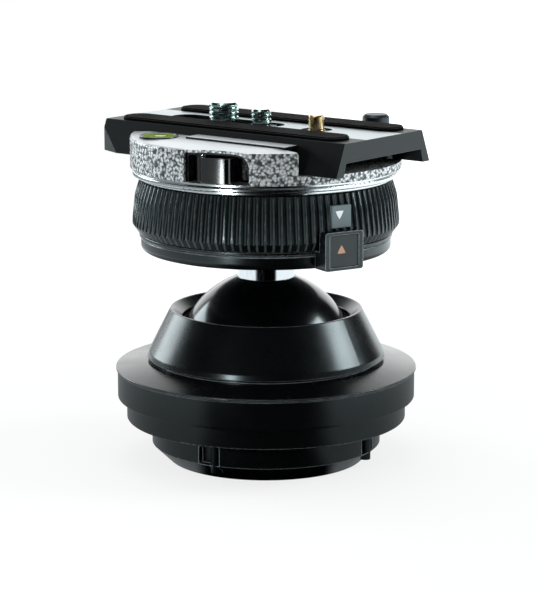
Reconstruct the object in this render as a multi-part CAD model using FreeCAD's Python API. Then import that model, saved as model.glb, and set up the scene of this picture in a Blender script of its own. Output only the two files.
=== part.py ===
"""Locking ball head with a lever clamp and a sliding camera plate, for a bowl-less tripod.

Units are millimetres. The origin is the middle of the bottom face, +Z is up, +X runs along the
camera plate, and -Y is the side of the clamp lever. A bearing is an angle in degrees about +Z,
counted from -Y towards +X.
"""
import FreeCAD
import Part
import math
import os
from FreeCAD import Vector

# Fits and clearances
FIT = 0.03
RUN = 0.06
GAP = 0.3
OVERRUN = 2.0
SLIT = 0.05

# Ball, its lower seat, the carrier and the springs
BALL_R = 29.0
SEAT_TOP_share = 0.38
SEAT_FOOT_share = 0.707
SEAT_PLAY = 0.35
SEAT_WALL = 1.5
CARRIER_WALL = 2.5
CARRIER_FLOOR_T = 2.0
CARRIER_MOUTH_PLAY = 1.0
BALL_WELL_PLAY = 1.0
FLOOR_T = 5.0
FLOOR_LEDGE = 7.0
DISC_SPRING_T = 0.9
DISC_SPRING_RISE = 0.6
DISC_SPRING_W = 4.5
DISC_SPRING_PLAY = 0.5
PRELOAD_RING_T = 2.0
PRELOAD_RING_W = 5.6
SPANNER_SLOT_W = 3.0
SPANNER_SLOT_DEPTH = 1.8
SPANNER_SLOTS = 4

# Tripod side of the base
SPIGOT_WALL = 4.4
SPIGOT_H = 13.5
SPIGOT_BEVEL_W = 5.4
SPIGOT_BEVEL_H = 5.2
TIER_LEDGE = 8.2
TIER_H = 7.0
EDGE_ROUND = 0.4
NOTCH_COUNT = 4
NOTCH_BEARING = 9.3
NOTCH_W = 7.4
NOTCH_DEPTH = 2.6
DOWEL_R = 1.8
DOWEL_INSET = 1.9
DOWEL_FOOT_Z = 2.6
DOWEL_ROOT = 2.0

# Flange and cone housing
FLANGE_OVERHANG = 2.9
LIP_PROUD = 0.5
LIP_BAND = 1.1
FLANGE_RISE = 2.1
HUB_WALL = 2.8
HUB_H = 3.8
CONE_SEAT_W = 1.8
CONE_SEAT_H = 1.0
CONE_SEAT_MARGIN = 0.65
CONE_DROP = 1.1
CONE_WALL = 3.85
CONE_FOOT_H = 1.9
CONE_FOOT_IN = 0.45
CONE_H = 16.0
RIM_WALL = 3.8
RIM_W = 0.7
RIM_SINK_H = 2.8

# Upper liner and wiper
LINER_PLAY = 0.35
LINER_WALL = 3.0
LINER_TOP_WALL = 0.3
LINER_BELOW = 1.5
LINER_SHOULDER = 5.5
LINER_ABOVE = 12.5
WIPER_W = 1.13
WIPER_T = 1.9
WIPER_PLAY = 0.2

# Cover and base screws
COVER_LEDGE = 3.9
COVER_T = 2.4
COVER_SCREWS = 4
COVER_SCREW_R = 1.0
COVER_SCREW_HEAD_R = 1.7
COVER_SCREW_HEAD_T = 1.2
COVER_SCREW_BITE = 2.3
FLANGE_SCREWS = 6
FLANGE_SCREW_R = 1.5
FLANGE_SCREW_HEAD_R = 2.75
FLANGE_SCREW_HEAD_T = 3.0
FLANGE_SCREW_L = 13.0
FLANGE_SCREW_BEARING = 24.3
SOCKET_share = 0.5
SOCKET_DEPTH_share = 0.6

# Neck, the ball's inside and its brake
STEM_R = 8.0
STEM_FOOT = 9.0
NECK_WALL = 1.3
NECK_SHOW = 7.7
NECK_SINK = 2.0
BALL_CUT = 11.0
CAP_TOP = 11.6
CAP_FLAT = 6.0
CAP_PLAY = 0.02
THRUST_BALL_R = 4.0
THRUST_CUP_WALL = 2.0
THRUST_CUP_TOP = 1.0
THRUST_CUP_FLOOR = 3.9
BOSS_WALL = 6.8
BOSS_TOP = 4.2
BOSS_COLLAR_W = 2.15
BOSS_COLLAR_T = 1.3
BOSS_PLAY = 0.11
BOSS_WELL_TOP = 3.5
CLIP_TOP = 9.25
CLIP_T = 0.9
CLIP_PLAY = 0.4
CLIP_BITE = 1.04
CLIP_GAP_DEG = 24.0
CAP_SPRING_T = 0.5
ROD_R = 3.0
ROD_FOOT_SINK = 0.6
ROD_DIMPLE_PLAY = 0.5
BRAKE_TRAVEL = 0.45
PIN_R = 1.6
PIN_END_PLAY = 3.0
PIN_ROOM = 0.1

# Collar housing on the neck
HOUSING_H = 5.8
HOUSING_INSET = 2.7
HOUSING_CORNER_R = 1.8
HOUSING_LIP_PROUD = 0.5
HOUSING_LIP_H = 1.2
HOUSING_GROOVE_DEPTH = 0.4
HOUSING_GROOVE_H = 0.5
HOUSING_FLOOR_T = 2.8
HOUSING_SKIRT_T = 2.0
HOUSING_SKIRT_H = 7.0
SLIDE_RING_T = 1.86
SLEEVE_WALL = 2.5

# Ribbed locking collar and the cam under its web
COLLAR_H = 16.9
COLLAR_INSET = 0.6
COLLAR_WALL = 4.65
COLLAR_BELT_H = 4.2
COLLAR_BEVEL_W = 1.9
COLLAR_BEVEL_H = 2.7
COLLAR_TOP_IN = 2.35
COLLAR_SHOULDER_IN = 0.85
COLLAR_SHOULDER_DROP = 4.9
WEB_T = 2.2
WEB_DROP = 0.5
WEB_BORE_PLAY = 0.4
RIB_COUNT = 104
RIB_CUT_share = 0.4224
RIB_CUT_OUT_share = 0.1728
INDEX_BEARING = 71.0
INDEX_W = 6.9
INDEX_H = 6.9
INDEX_T = 1.5
INDEX_PROUD = 0.1
INDEX_DROP = 6.6
CAM_WALL = 7.0
CAM_H = 4.5
CAM_LIFT_SPAN_DEG = 75.0
CAM_SCREWS = 4
CAM_SCREW_SHIFT = 0.6
CAM_SCREW_R = 1.25
CAM_SCREW_HEAD_R = 2.2
CAM_SCREW_HEAD_T = 1.4
CAM_SCREW_SINK = 0.1
CAM_SCREW_BITE = 2.2
THRUST_WASHER_PLAY = 1.5
THRUST_WASHER_W = 8.0

# Push button and its block
BLOCK_BEARING = 69.7
BLOCK_W = 13.8
BLOCK_H = 12.0
BLOCK_LIFT = 0.2
BLOCK_FLOOR_T = 0.25
BLOCK_CORNER_R = 0.8
BUTTON_W = 10.2
BUTTON_H = 9.8
BUTTON_PLAY = 0.15
BUTTON_T = 1.4
BUTTON_INSET = 0.3
BUTTON_TRAVEL = 0.8
BUTTON_CORNER_R = 0.6
BUTTON_STEM_R = 1.2
BUTTON_STEM_RISE = 3.7
BUTTON_WELL_PLAY = 1.3
BUTTON_WELL_ROOT = 0.5
BUTTON_CLIP_W = 1.4
BUTTON_CLIP_T = 0.6
BUTTON_SPRING_PLAY = 0.7
BUTTON_WIRE_R = 0.22
BUTTON_SPRING_TURNS = 4
BLOCK_SCREW_R = 0.8
BLOCK_SCREW_SIDE = 5.5
BLOCK_SCREW_HEAD_R = 1.3
BLOCK_SCREW_RISE = 4.4
BLOCK_SCREW_HEAD_T = 1.0
BLOCK_SCREW_BITE = 2.4

# Clamp body
WALL_W = 16.5
WALL_H = 14.3
WALL_EDGE_IN = 0.9
WALL_EDGE_DROP = 0.5
WALL_SLOPE_IN = 6.2
WALL_BEVEL_W = 0.3
WALL_BEVEL_DROP = 0.9
CLAMP_NECK_IN = 2.9
CLAMP_NECK_H = 1.2
BEAD_IN = 0.8
BEAD_H = 1.5
BEAD_ROUND = 0.4
BODY_GROOVE_IN = 1.5
BODY_GROOVE_H = 0.8
CLAMP_FLOOR_H = 6.3
NUT_WALL = 4.0
NUT_H = 3.4
NUT_POCKET_PLAY = 0.5
NUT_FLOOR_T = 2.5
STEM_TOP_DROP = 0.8

# Clamp lever, its pivot and the moving jaw
LEVER_BEARING = 17.4
RECESS_HALF_W = 9.9
RECESS_DEPTH = 7.5
RECESS_FOOT_H = 3.5
RECESS_SIDE_H = 12.0
RECESS_TOP_H = 12.7
RECESS_CORNER_R = 4.5
RECESS_ARCH_R = 60.0
HOOD_STEP = 0.9
HOOD_STEP_DEPTH = 1.8
HOOD_BROW = 1.7
HOOD_BROW_T = 3.0
HOOD_PROUD = 0.2
LEVER_SETBACK = 0.3
LEVER_BACK_PLAY = 0.7
LEVER_PIVOT_SIDE = 5.6
LEVER_PIVOT_BACK = 2.0
LEVER_EYE_R = 2.5
LEVER_HEEL_ROUND = 1.6
LEVER_TIP_SIDE = 4.8
LEVER_TIP_ROUND = 2.2
PIVOT_R = 1.2
PIVOT_ROOF = 0.9
JAW_LEFT_X = 10.5
JAW_RIGHT_X = 29.0
JAW_ROOM = 2.56
JAW_TRAVEL = 1.2
JAW_LIP_T = 0.6
JAW_LIP_COVER = 0.2
STUD_X = 13.0
STUD_R = 1.5
STUD_Z_RISE = 2.9
STUD_ROOT = 1.0
STUD_HEAD_R = 2.4
STUD_HEAD_T = 1.1
STUD_HEAD_BACK = 0.4
JAW_SPRING_LEFT_X = -6.0
JAW_SPRING_RIGHT_X = 25.6
JAW_SPRING_R = 1.6
JAW_WIRE_R = 0.25
JAW_SPRING_TURNS = 5
JAW_SPRING_WELL_R = 2.1
JAW_SPRING_WELL = 3.4

# Spirit level
LEVEL_CUP_R = 6.2
LEVEL_CUP_WALL = 0.7
LEVEL_CUP_H = 2.8
LEVEL_FLANK_WALL = 2.68
LEVEL_EDGE_WALL = 2.05
LEVEL_FLOOR_T = 0.8
LEVEL_PROUD = 0.5
LEVEL_VIAL_SINK = 0.15

# Plate catch at the rear
CATCH_BUTTON_R = 4.4
CATCH_FLANK_WALL = 1.36
CATCH_EDGE_WALL = 2.07
CATCH_BUTTON_PROUD = 4.5
CATCH_PIN_Y = 12.0
CATCH_PIN_R = 2.0
CATCH_PIN_PROUD = 1.4
CATCH_TRAVEL = 1.7
CATCH_ARM_W = 4.0
CATCH_ARM_T = 1.6
CATCH_COVER_T = 0.8
CATCH_COVER_MARGIN = 2.5
CATCH_SPRING_R = 1.3
CATCH_WIRE_R = 0.2
CATCH_SPRING_TURNS = 3
CATCH_SLOT_PLAY = 0.15

# Camera plate
PLATE_FOOT_HALF_W = 24.64
PLATE_LEAN = 4.32
PLATE_LIFT = 0.2
PLATE_H = 10.3
PLATE_WEB_T = 6.1
PLATE_LEG_W = 3.6
PLATE_LEG_TOP_W = 2.9
PLATE_SIDE_GAP = 0.15
PLATE_EDGE = 0.5
PLATE_NOSE_L = 8.0
PLATE_NOSE_W = 3.2
PLATE_LEFT_END = 12.4
PLATE_RIGHT_END = 5.9
SLOT_LEFT_X = -33.0
SLOT_RIGHT_X = 1.2
SLOT_PLAY = 0.34
DECK_W = 4.02
STRIP_H = 1.2
STRIP_SINK = 0.8
STRIP_EDGE = 0.6
STRIP_END = 4.5
STRIP_CROWN = 0.4
STOP_REACH = 12.0
STOP_R = 2.5
STOP_HEAD_H = 2.6
STOP_SHANK_R = 1.25
STOP_BITE = 3.5

# Camera screws and registration pin
BIG_SCREW_X = -17.4
BIG_SCREW_R = 4.76
BIG_SCREW_TOP = 6.0
BIG_HEAD_W = 3.24
SMALL_SCREW_X = -1.9
SMALL_SCREW_R = 3.175
SMALL_SCREW_TOP = 4.9
SMALL_HEAD_W = 3.425
SCREW_HEAD_H = 2.9
HEAD_SLOT_W = 1.6
HEAD_SLOT_DEPTH = 1.4
SLIDE_WASHER_T = 0.6
CARRIER_COLLAR_PLAY = 0.1
THREAD_PITCH = 1.5
THREAD_DEPTH = 0.35
THREAD_LIFT = 0.3
REG_PIN_X = 20.3
REG_PIN_R = 2.5
REG_PIN_GUIDE_W = 0.2
REG_PIN_REST = 0.9
REG_PIN_HEAD_W = 1.1
REG_PIN_HEAD_T = 1.0
REG_PIN_TRAVEL = 3.8
REG_CUP_FOOT_W = 1.5
REG_CUP_FLOOR_T = 0.6
REG_LIP_T = 1.0
REG_SPRING_INSET = 0.7
REG_WIRE_R = 0.25
REG_SPRING_TURNS = 4

# Radii of the base and cone, from the ball outwards
SEAT_R = BALL_R + SEAT_WALL
CARRIER_R = SEAT_R + CARRIER_WALL
CARRIER_MOUTH_R = BALL_R * math.sqrt(1 - SEAT_FOOT_share ** 2) + CARRIER_MOUTH_PLAY
BALL_WELL_R = BALL_R + BALL_WELL_PLAY
DISC_SPRING_RO = CARRIER_R - DISC_SPRING_PLAY
DISC_SPRING_RI = DISC_SPRING_RO - DISC_SPRING_W
PRELOAD_RING_RI = CARRIER_R - PRELOAD_RING_W
COVER_MOUTH_R = CARRIER_R - FLOOR_LEDGE
COVER_R = COVER_MOUTH_R + COVER_LEDGE
COVER_SCREW_RING_R = (COVER_MOUTH_R + COVER_R) / 2
SPIGOT_R = CARRIER_R + SPIGOT_WALL
SPIGOT_FOOT_R = SPIGOT_R - SPIGOT_BEVEL_W
TIER_R = SPIGOT_R + TIER_LEDGE
FLANGE_R = TIER_R + FLANGE_OVERHANG
LIP_R = FLANGE_R + LIP_PROUD
FLANGE_SCREW_RING_R = (SPIGOT_R + TIER_R) / 2
LINER_R = BALL_R + LINER_WALL
LINER_TOP_R = BALL_R + LINER_TOP_WALL
HUB_R = LINER_R + HUB_WALL
CONE_SEAT_R = HUB_R + CONE_SEAT_W
CONE_FOOT_R = HUB_R + CONE_WALL
FLANGE_SLOPE_R = CONE_FOOT_R + CONE_SEAT_MARGIN
RIM_SINK_R = math.sqrt(BALL_R ** 2 - LINER_ABOVE ** 2) + WIPER_W
CONE_TOP_R = RIM_SINK_R + RIM_WALL

# Radii of the brake and neck, from the thrust ball and the stem outwards
THRUST_CUP_R = THRUST_BALL_R + THRUST_CUP_WALL
THRUST_CUP_FOOT = THRUST_BALL_R + THRUST_CUP_FLOOR
ROD_FOOT = THRUST_BALL_R - ROD_FOOT_SINK
ROD_DIMPLE_R = THRUST_BALL_R + ROD_DIMPLE_PLAY
BOSS_R = THRUST_CUP_R + BOSS_WALL
BOSS_COLLAR_R = BOSS_R + BOSS_COLLAR_W
BOSS_WELL_R = BOSS_COLLAR_R + BOSS_PLAY
CLIP_RI = BOSS_R + CLIP_PLAY
CLIP_RO = BOSS_WELL_R + CLIP_BITE
STEM_BORE_R = ROD_R + RUN
NECK_R = STEM_R + NECK_WALL
NECK_SEAT = BALL_R - NECK_SINK
CAP_FOOT = BALL_R - CAP_FLAT
SLEEVE_R = STEM_R + SLEEVE_WALL
NUT_R = STEM_R + NUT_WALL
CAM_R = SLEEVE_R + CAM_WALL
CAM_MID_R = (SLEEVE_R + CAM_R) / 2
CAM_SCREW_RING_R = CAM_MID_R + CAM_SCREW_SHIFT
PIN_HALF_L = CAM_R - PIN_END_PLAY
THRUST_WASHER_RI = SLEEVE_R + THRUST_WASHER_PLAY
THRUST_WASHER_RO = THRUST_WASHER_RI + THRUST_WASHER_W

# Widths and radii of the clamp and collar, from the plate outwards
PLATE_TOP_HALF_W = PLATE_FOOT_HALF_W - PLATE_LEAN
WALL_INNER_Y = PLATE_FOOT_HALF_W + JAW_ROOM
JAW_BACK_Y = WALL_INNER_Y - JAW_TRAVEL - GAP
CLAMP_R = WALL_INNER_Y + WALL_W
CLAMP_NECK_R = CLAMP_R - CLAMP_NECK_IN
BEAD_R = CLAMP_R - BEAD_IN
BODY_GROOVE_R = CLAMP_R - BODY_GROOVE_IN
WALL_EDGE_R = CLAMP_R - WALL_EDGE_IN
WALL_SLOPE_R = CLAMP_R - WALL_SLOPE_IN
RECESS_BACK_R = CLAMP_R - RECESS_DEPTH
LEVER_BACK_R = RECESS_BACK_R + LEVER_BACK_PLAY
LEVER_PIVOT_R = LEVER_BACK_R + LEVER_PIVOT_BACK
LEVEL_Y = -(PLATE_TOP_HALF_W + LEVEL_FLANK_WALL + LEVEL_CUP_R)
LEVEL_X = -math.sqrt((CLAMP_R - LEVEL_EDGE_WALL - LEVEL_CUP_R) ** 2 - LEVEL_Y ** 2)
CATCH_BUTTON_Y = PLATE_FOOT_HALF_W + CATCH_FLANK_WALL + CATCH_BUTTON_R
CATCH_X = math.sqrt((CLAMP_R - CATCH_EDGE_WALL - CATCH_BUTTON_R) ** 2 - CATCH_BUTTON_Y ** 2)
COLLAR_R = CLAMP_R - COLLAR_INSET
COLLAR_FOOT_R = COLLAR_R - COLLAR_BEVEL_W
COLLAR_TOP_R = COLLAR_R - COLLAR_TOP_IN
COLLAR_SHOULDER_R = COLLAR_R - COLLAR_SHOULDER_IN
COLLAR_BORE_R = COLLAR_R - COLLAR_WALL
RIB_PITCH = 2 * math.pi * COLLAR_R / RIB_COUNT
HOUSING_R = COLLAR_R - HOUSING_INSET
HOUSING_LIP_R = HOUSING_R + HOUSING_LIP_PROUD
HOUSING_GROOVE_R = HOUSING_R - HOUSING_GROOVE_DEPTH
SLIDE_RING_RO = COLLAR_BORE_R - RUN
HOUSING_SKIRT_RO = SLIDE_RING_RO - SLIDE_RING_T - FIT
HOUSING_SKIRT_RI = HOUSING_SKIRT_RO - HOUSING_SKIRT_T
BLOCK_BACK_R = COLLAR_R + INDEX_PROUD + GAP
BUTTON_FLOOR_X = BLOCK_BACK_R + BLOCK_FLOOR_T
BUTTON_BACK_X = BUTTON_FLOOR_X + BUTTON_PLAY + BUTTON_TRAVEL
BLOCK_FACE_R = BUTTON_BACK_X + BUTTON_T + BUTTON_INSET

# Sizes along the camera plate
SLOT_HALF_W = BIG_SCREW_R + SLOT_PLAY
STRIP_W = PLATE_TOP_HALF_W - STRIP_EDGE - SLOT_HALF_W - DECK_W
BIG_HEAD_R = BIG_SCREW_R + BIG_HEAD_W
SMALL_HEAD_R = SMALL_SCREW_R + SMALL_HEAD_W
CARRIER_COLLAR_R = SLOT_HALF_W - CARRIER_COLLAR_PLAY
REG_PIN_GUIDE_R = REG_PIN_R + REG_PIN_GUIDE_W
REG_PIN_HEAD_R = REG_PIN_R + REG_PIN_HEAD_W
REG_PIN_TOP = REG_PIN_TRAVEL + REG_PIN_REST
REG_CUP_R = CARRIER_COLLAR_R + REG_CUP_FOOT_W
REG_SPRING_R = REG_PIN_HEAD_R - REG_SPRING_INSET
STOP_SPAN = CATCH_PIN_R + STOP_REACH + STOP_R + GAP
PLATE_LEFT_X = SLOT_LEFT_X - SLOT_HALF_W - PLATE_LEFT_END
PLATE_RIGHT_X = CATCH_X + STOP_SPAN + STOP_R + PLATE_RIGHT_END

# Heights that follow from the stack, from the bottom up
PRELOAD_TOP_Z = FLOOR_T + PRELOAD_RING_T
SPRING_TOP_Z = PRELOAD_TOP_Z + 2 * (DISC_SPRING_T + DISC_SPRING_RISE)
SEAT_FOOT_Z = SPRING_TOP_Z + CARRIER_FLOOR_T
BALL_Z = SEAT_FOOT_Z + SEAT_FOOT_share * BALL_R
SEAT_TOP_Z = BALL_Z - SEAT_TOP_share * BALL_R
TIER_TOP_Z = SPIGOT_H + TIER_H
CONE_FOOT_Z = BALL_Z + CONE_DROP
CONE_TOP_Z = CONE_FOOT_Z + CONE_H
LIP_Z = CONE_FOOT_Z - CONE_SEAT_H - FLANGE_RISE
HUB_TOP_Z = CONE_FOOT_Z + HUB_H
LINER_FOOT_Z = BALL_Z - LINER_BELOW
LINER_TOP_Z = BALL_Z + LINER_ABOVE
NECK_TOP_Z = BALL_Z + BALL_R + NECK_SHOW
HOUSING_TOP_Z = NECK_TOP_Z + HOUSING_H
HOUSING_FLOOR_Z = NECK_TOP_Z + HOUSING_FLOOR_T
COLLAR_FOOT_Z = HOUSING_TOP_Z + GAP
COLLAR_TOP_Z = COLLAR_FOOT_Z + COLLAR_H
WEB_TOP_Z = COLLAR_TOP_Z - WEB_DROP
WEB_FOOT_Z = WEB_TOP_Z - WEB_T
CAM_FOOT_Z = WEB_FOOT_Z - CAM_H
CAM_FACE_Z = CAM_FOOT_Z + BRAKE_TRAVEL
CLAMP_Z = COLLAR_TOP_Z + GAP
CLAMP_FLOOR_Z = CLAMP_Z + CLAMP_FLOOR_H
WALL_TOP_Z = CLAMP_Z + WALL_H
NUT_SEAT_Z = CLAMP_Z + NUT_FLOOR_T
PLATE_Z = CLAMP_FLOOR_Z + PLATE_LIFT
PLATE_TOP_Z = PLATE_Z + PLATE_H
WEB_UNDER_Z = PLATE_TOP_Z - PLATE_WEB_T
STRIP_TOP_Z = PLATE_TOP_Z + STRIP_H
CATCH_COVER_Z = CLAMP_FLOOR_Z - CATCH_COVER_T
CATCH_ARM_Z = CATCH_COVER_Z - SLIT - CATCH_ARM_T
CATCH_WELL_Z = CATCH_ARM_Z - CATCH_TRAVEL - CATCH_SLOT_PLAY
CAM_HALF_SPAN = math.radians(CAM_LIFT_SPAN_DEG) / 2
CAM_SLOPE = BRAKE_TRAVEL / 2 / (CAM_MID_R * math.sin(CAM_HALF_SPAN))
PIN_Z = CAM_FACE_Z - 2 * SLIT - PIN_R


# Shape helpers

def corner_path(corners):
    """Turns (u, v) and (u, v, radius) corners into lines and tangent arcs of a closed outline."""
    count = len(corners)
    starts, ends, mids = [], [], []
    for i in range(count):
        here = corners[i]
        if len(here) == 2:
            starts.append(here)
            ends.append(here)
            mids.append(None)
            continue
        before, after = corners[i - 1], corners[(i + 1) % count]
        a = Vector(before[0] - here[0], before[1] - here[1], 0)
        b = Vector(after[0] - here[0], after[1] - here[1], 0)
        a.normalize()
        b.normalize()
        half = a.getAngle(b) / 2
        setback = here[2] / math.tan(half)
        bisector = a + b
        bisector.normalize()
        centre = Vector(here[0], here[1], 0) + bisector * (here[2] / math.sin(half))
        mid = centre - bisector * here[2]
        starts.append((here[0] + a.x * setback, here[1] + a.y * setback))
        ends.append((here[0] + b.x * setback, here[1] + b.y * setback))
        mids.append((mid.x, mid.y))
    path = []
    for i in range(count):
        if mids[i] is not None:
            path.append((starts[i], mids[i], ends[i]))
        path.append((ends[i], starts[(i + 1) % count]))
    return path


def outline_face(corners, place):
    """Face of a closed outline, where place(u, v) gives each point in space."""
    edges = []
    for piece in corner_path(corners):
        points = [place(*point) for point in piece]
        if points[0].isEqual(points[-1], SLIT * SLIT):
            continue
        if len(points) == 3:
            edges.append(Part.Arc(*points).toShape())
        else:
            edges.append(Part.makeLine(*points))
    return Part.Face(Part.Wire(edges))


def turned(corners):
    """Solid of revolution about Z from an (r, z) outline."""
    face = outline_face(corners, lambda r, z: Vector(r, 0, z))
    return face.revolve(Vector(0, 0, 0), Vector(0, 0, 1), 360)


def prism_z(corners, low, high):
    """Prism along Z from an (x, y) outline."""
    face = outline_face(corners, lambda x, y: Vector(x, y, low))
    return face.extrude(Vector(0, 0, high - low))


def prism_x(corners, low, high):
    """Prism along X from a (y, z) outline."""
    face = outline_face(corners, lambda y, z: Vector(low, y, z))
    return face.extrude(Vector(high - low, 0, 0))


def rod_z(radius, low, high, x=0, y=0):
    return Part.makeCylinder(radius, high - low, Vector(x, y, low))


def rod_x(radius, low, high, y, z):
    return Part.makeCylinder(radius, high - low, Vector(low, y, z), Vector(1, 0, 0))


def rod_y(radius, low, high, x, z):
    return Part.makeCylinder(radius, high - low, Vector(x, low, z), Vector(0, 1, 0))


def ring_z(inner, outer, low, high):
    return rod_z(outer, low, high).cut(rod_z(inner, low - OVERRUN, high + OVERRUN))


def block(x_low, x_high, y_low, y_high, z_low, z_high):
    return Part.makeBox(x_high - x_low, y_high - y_low, z_high - z_low, Vector(x_low, y_low, z_low))


def ball_of(radius, z=None):
    height = BALL_Z if z is None else z
    return Part.makeSphere(radius, Vector(0, 0, height))


def spun(shape, angle):
    """Copy turned about Z by an angle in degrees."""
    copy = shape.copy()
    copy.rotate(Vector(0, 0, 0), Vector(0, 0, 1), angle)
    return copy


def at_bearing(shape, bearing):
    """Copy of a shape drawn on +X, turned to a bearing."""
    return spun(shape, bearing - 90)


def around(shape, count, first_bearing):
    """Copies of a shape drawn on +X, evenly round Z."""
    return [at_bearing(shape, first_bearing + i * 360 / count) for i in range(count)]


def cut_all(shape, tools):
    return shape.cut(Part.makeCompound(tools))


def tangent_arc(start, end, tangent):
    """Arc between two points that leaves the first along a unit tangent."""
    chord = end - start
    normal = tangent.cross(chord).normalize()
    side = normal.cross(tangent)
    radius = chord.dot(chord) / (2 * chord.dot(side))
    centre = start + side * radius
    outward = ((start + end) * 0.5 - centre).normalize()
    return Part.Arc(start, centre + outward * radius, end).toShape()


def coil(radius, wire_r, length, turns):
    """Round-wire compression spring along +Z, standing on z = 0, with two arcs to each half turn."""
    rise = (length - 2 * wire_r) / turns

    def point(turn):
        angle = 2 * math.pi * turn
        return Vector(radius * math.cos(angle), radius * math.sin(angle), wire_r + rise * turn)

    def tangent(turn):
        angle = 2 * math.pi * turn
        sweep = 2 * math.pi * radius
        return Vector(-sweep * math.sin(angle), sweep * math.cos(angle), rise).normalize()

    edges = []
    for half in range(2 * turns):
        first, last = half / 2, (half + 1) / 2
        start, end = point(first), point(last)
        leave, arrive = tangent(first), tangent(last)
        chord = end - start
        bend = 2 * (1 - leave.dot(arrive))
        along = chord.dot(leave + arrive)
        reach = (math.sqrt(along ** 2 + bend * chord.dot(chord)) - along) / bend
        near, far = start + leave * reach, end - arrive * reach
        middle = (near + far) * 0.5
        edges.append(tangent_arc(start, middle, leave))
        edges.append(tangent_arc(middle, end, (far - near).normalize()))
    section = Part.Wire(Part.makeCircle(wire_r, point(0), tangent(0)))
    return Part.Wire(edges).makePipeShell([section], True, False)


def to_x(shape, x, y, z):
    """Turns a shape drawn along +Z to run along +X from a point."""
    copy = shape.copy()
    copy.rotate(Vector(0, 0, 0), Vector(0, 1, 0), 90)
    copy.translate(Vector(x, y, z))
    return copy


def to_minus_y(shape, x, y, z):
    """Turns a shape drawn along +Z to run along -Y from a point."""
    copy = shape.copy()
    copy.rotate(Vector(0, 0, 0), Vector(1, 0, 0), 90)
    copy.translate(Vector(x, y, z))
    return copy


def cap_screw(radius, head_r, head_t, shank_l):
    """Socket screw along +Z, head at the bottom with its socket open downwards."""
    screw = rod_z(head_r, 0, head_t).fuse(rod_z(radius, 0, head_t + shank_l))
    socket_r = head_r * SOCKET_share
    socket = Part.makePolygon([Vector(socket_r * math.cos(math.radians(60 * i)),
                                      socket_r * math.sin(math.radians(60 * i)), 0) for i in range(7)])
    depth = head_t * SOCKET_DEPTH_share
    return screw.removeSplitter().cut(Part.Face(socket).extrude(Vector(0, 0, depth)))


def flipped(shape):
    """Copy turned upside down about X."""
    copy = shape.copy()
    copy.rotate(Vector(0, 0, 0), Vector(1, 0, 0), 180)
    return copy


def moved(shape, x, y, z):
    copy = shape.copy()
    copy.translate(Vector(x, y, z))
    return copy


parts = {}


def keep(name, *shapes):
    """Files one or more solids under a node name."""
    solids = [solid for shape in shapes for solid in shape.Solids]
    parts[name] = solids[0] if len(solids) == 1 else Part.makeCompound(solids)


# Shared cutters of the base

def carrier_bore():
    return rod_z(CARRIER_R + SLIT, FLOOR_T, SEAT_TOP_Z + GAP)


def ball_well():
    return rod_z(BALL_WELL_R, SEAT_TOP_Z - OVERRUN, LINER_FOOT_Z + OVERRUN)


def liner_body(grow):
    """Outside of the upper liner, grown by a clearance."""
    return turned([(0, LINER_FOOT_Z), (LINER_R + grow, LINER_FOOT_Z), (LINER_R + grow, BALL_Z + LINER_SHOULDER),
                   (LINER_TOP_R + grow, LINER_TOP_Z), (0, LINER_TOP_Z)])


# Base: tripod disc, flange and cone

def base_disc():
    """Lower disc: bevelled spigot, seat for the tripod rim, and the tier above it."""
    disc = turned([(0, 0), (SPIGOT_FOOT_R, 0), (SPIGOT_R, SPIGOT_BEVEL_H), (SPIGOT_R, SPIGOT_H),
                   (TIER_R, SPIGOT_H, EDGE_ROUND), (TIER_R, TIER_TOP_Z, EDGE_ROUND), (0, TIER_TOP_Z)])
    disc = disc.cut(carrier_bore()).cut(ball_well())
    disc = disc.cut(rod_z(COVER_MOUTH_R, -OVERRUN, FLOOR_T + OVERRUN))
    disc = disc.cut(rod_z(COVER_R + FIT, -OVERRUN, COVER_T))
    notch = block(SPIGOT_R - NOTCH_DEPTH, SPIGOT_R + OVERRUN, -NOTCH_W / 2, NOTCH_W / 2,
                  SPIGOT_BEVEL_H, SPIGOT_H)
    cover_hole = rod_z(COVER_SCREW_R + FIT, 0, FLOOR_T - SLIT, COVER_SCREW_RING_R)
    screw_well = rod_z(FLANGE_SCREW_HEAD_R + GAP, SPIGOT_H - OVERRUN,
                       SPIGOT_H + GAP + FLANGE_SCREW_HEAD_T, FLANGE_SCREW_RING_R)
    screw_hole = rod_z(FLANGE_SCREW_R + FIT, SPIGOT_H, TIER_TOP_Z + OVERRUN, FLANGE_SCREW_RING_R)
    disc = cut_all(disc, around(notch, NOTCH_COUNT, NOTCH_BEARING))
    disc = cut_all(disc, spigot_dowels(FIT, DOWEL_ROOT + FIT))
    disc = cut_all(disc, around(cover_hole, COVER_SCREWS, NOTCH_BEARING))
    disc = cut_all(disc, around(screw_well.fuse(screw_hole), FLANGE_SCREWS, FLANGE_SCREW_BEARING))
    keep("base_disc", disc)


def spigot_dowels(grow, root):
    """Round keys standing at one side of each notch, grown by a clearance."""
    side = NOTCH_W / 2 - DOWEL_R
    dowel = rod_z(DOWEL_R + grow, DOWEL_FOOT_Z, SPIGOT_H + root, SPIGOT_R - DOWEL_INSET, side)
    return around(dowel, NOTCH_COUNT, NOTCH_BEARING)


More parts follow.
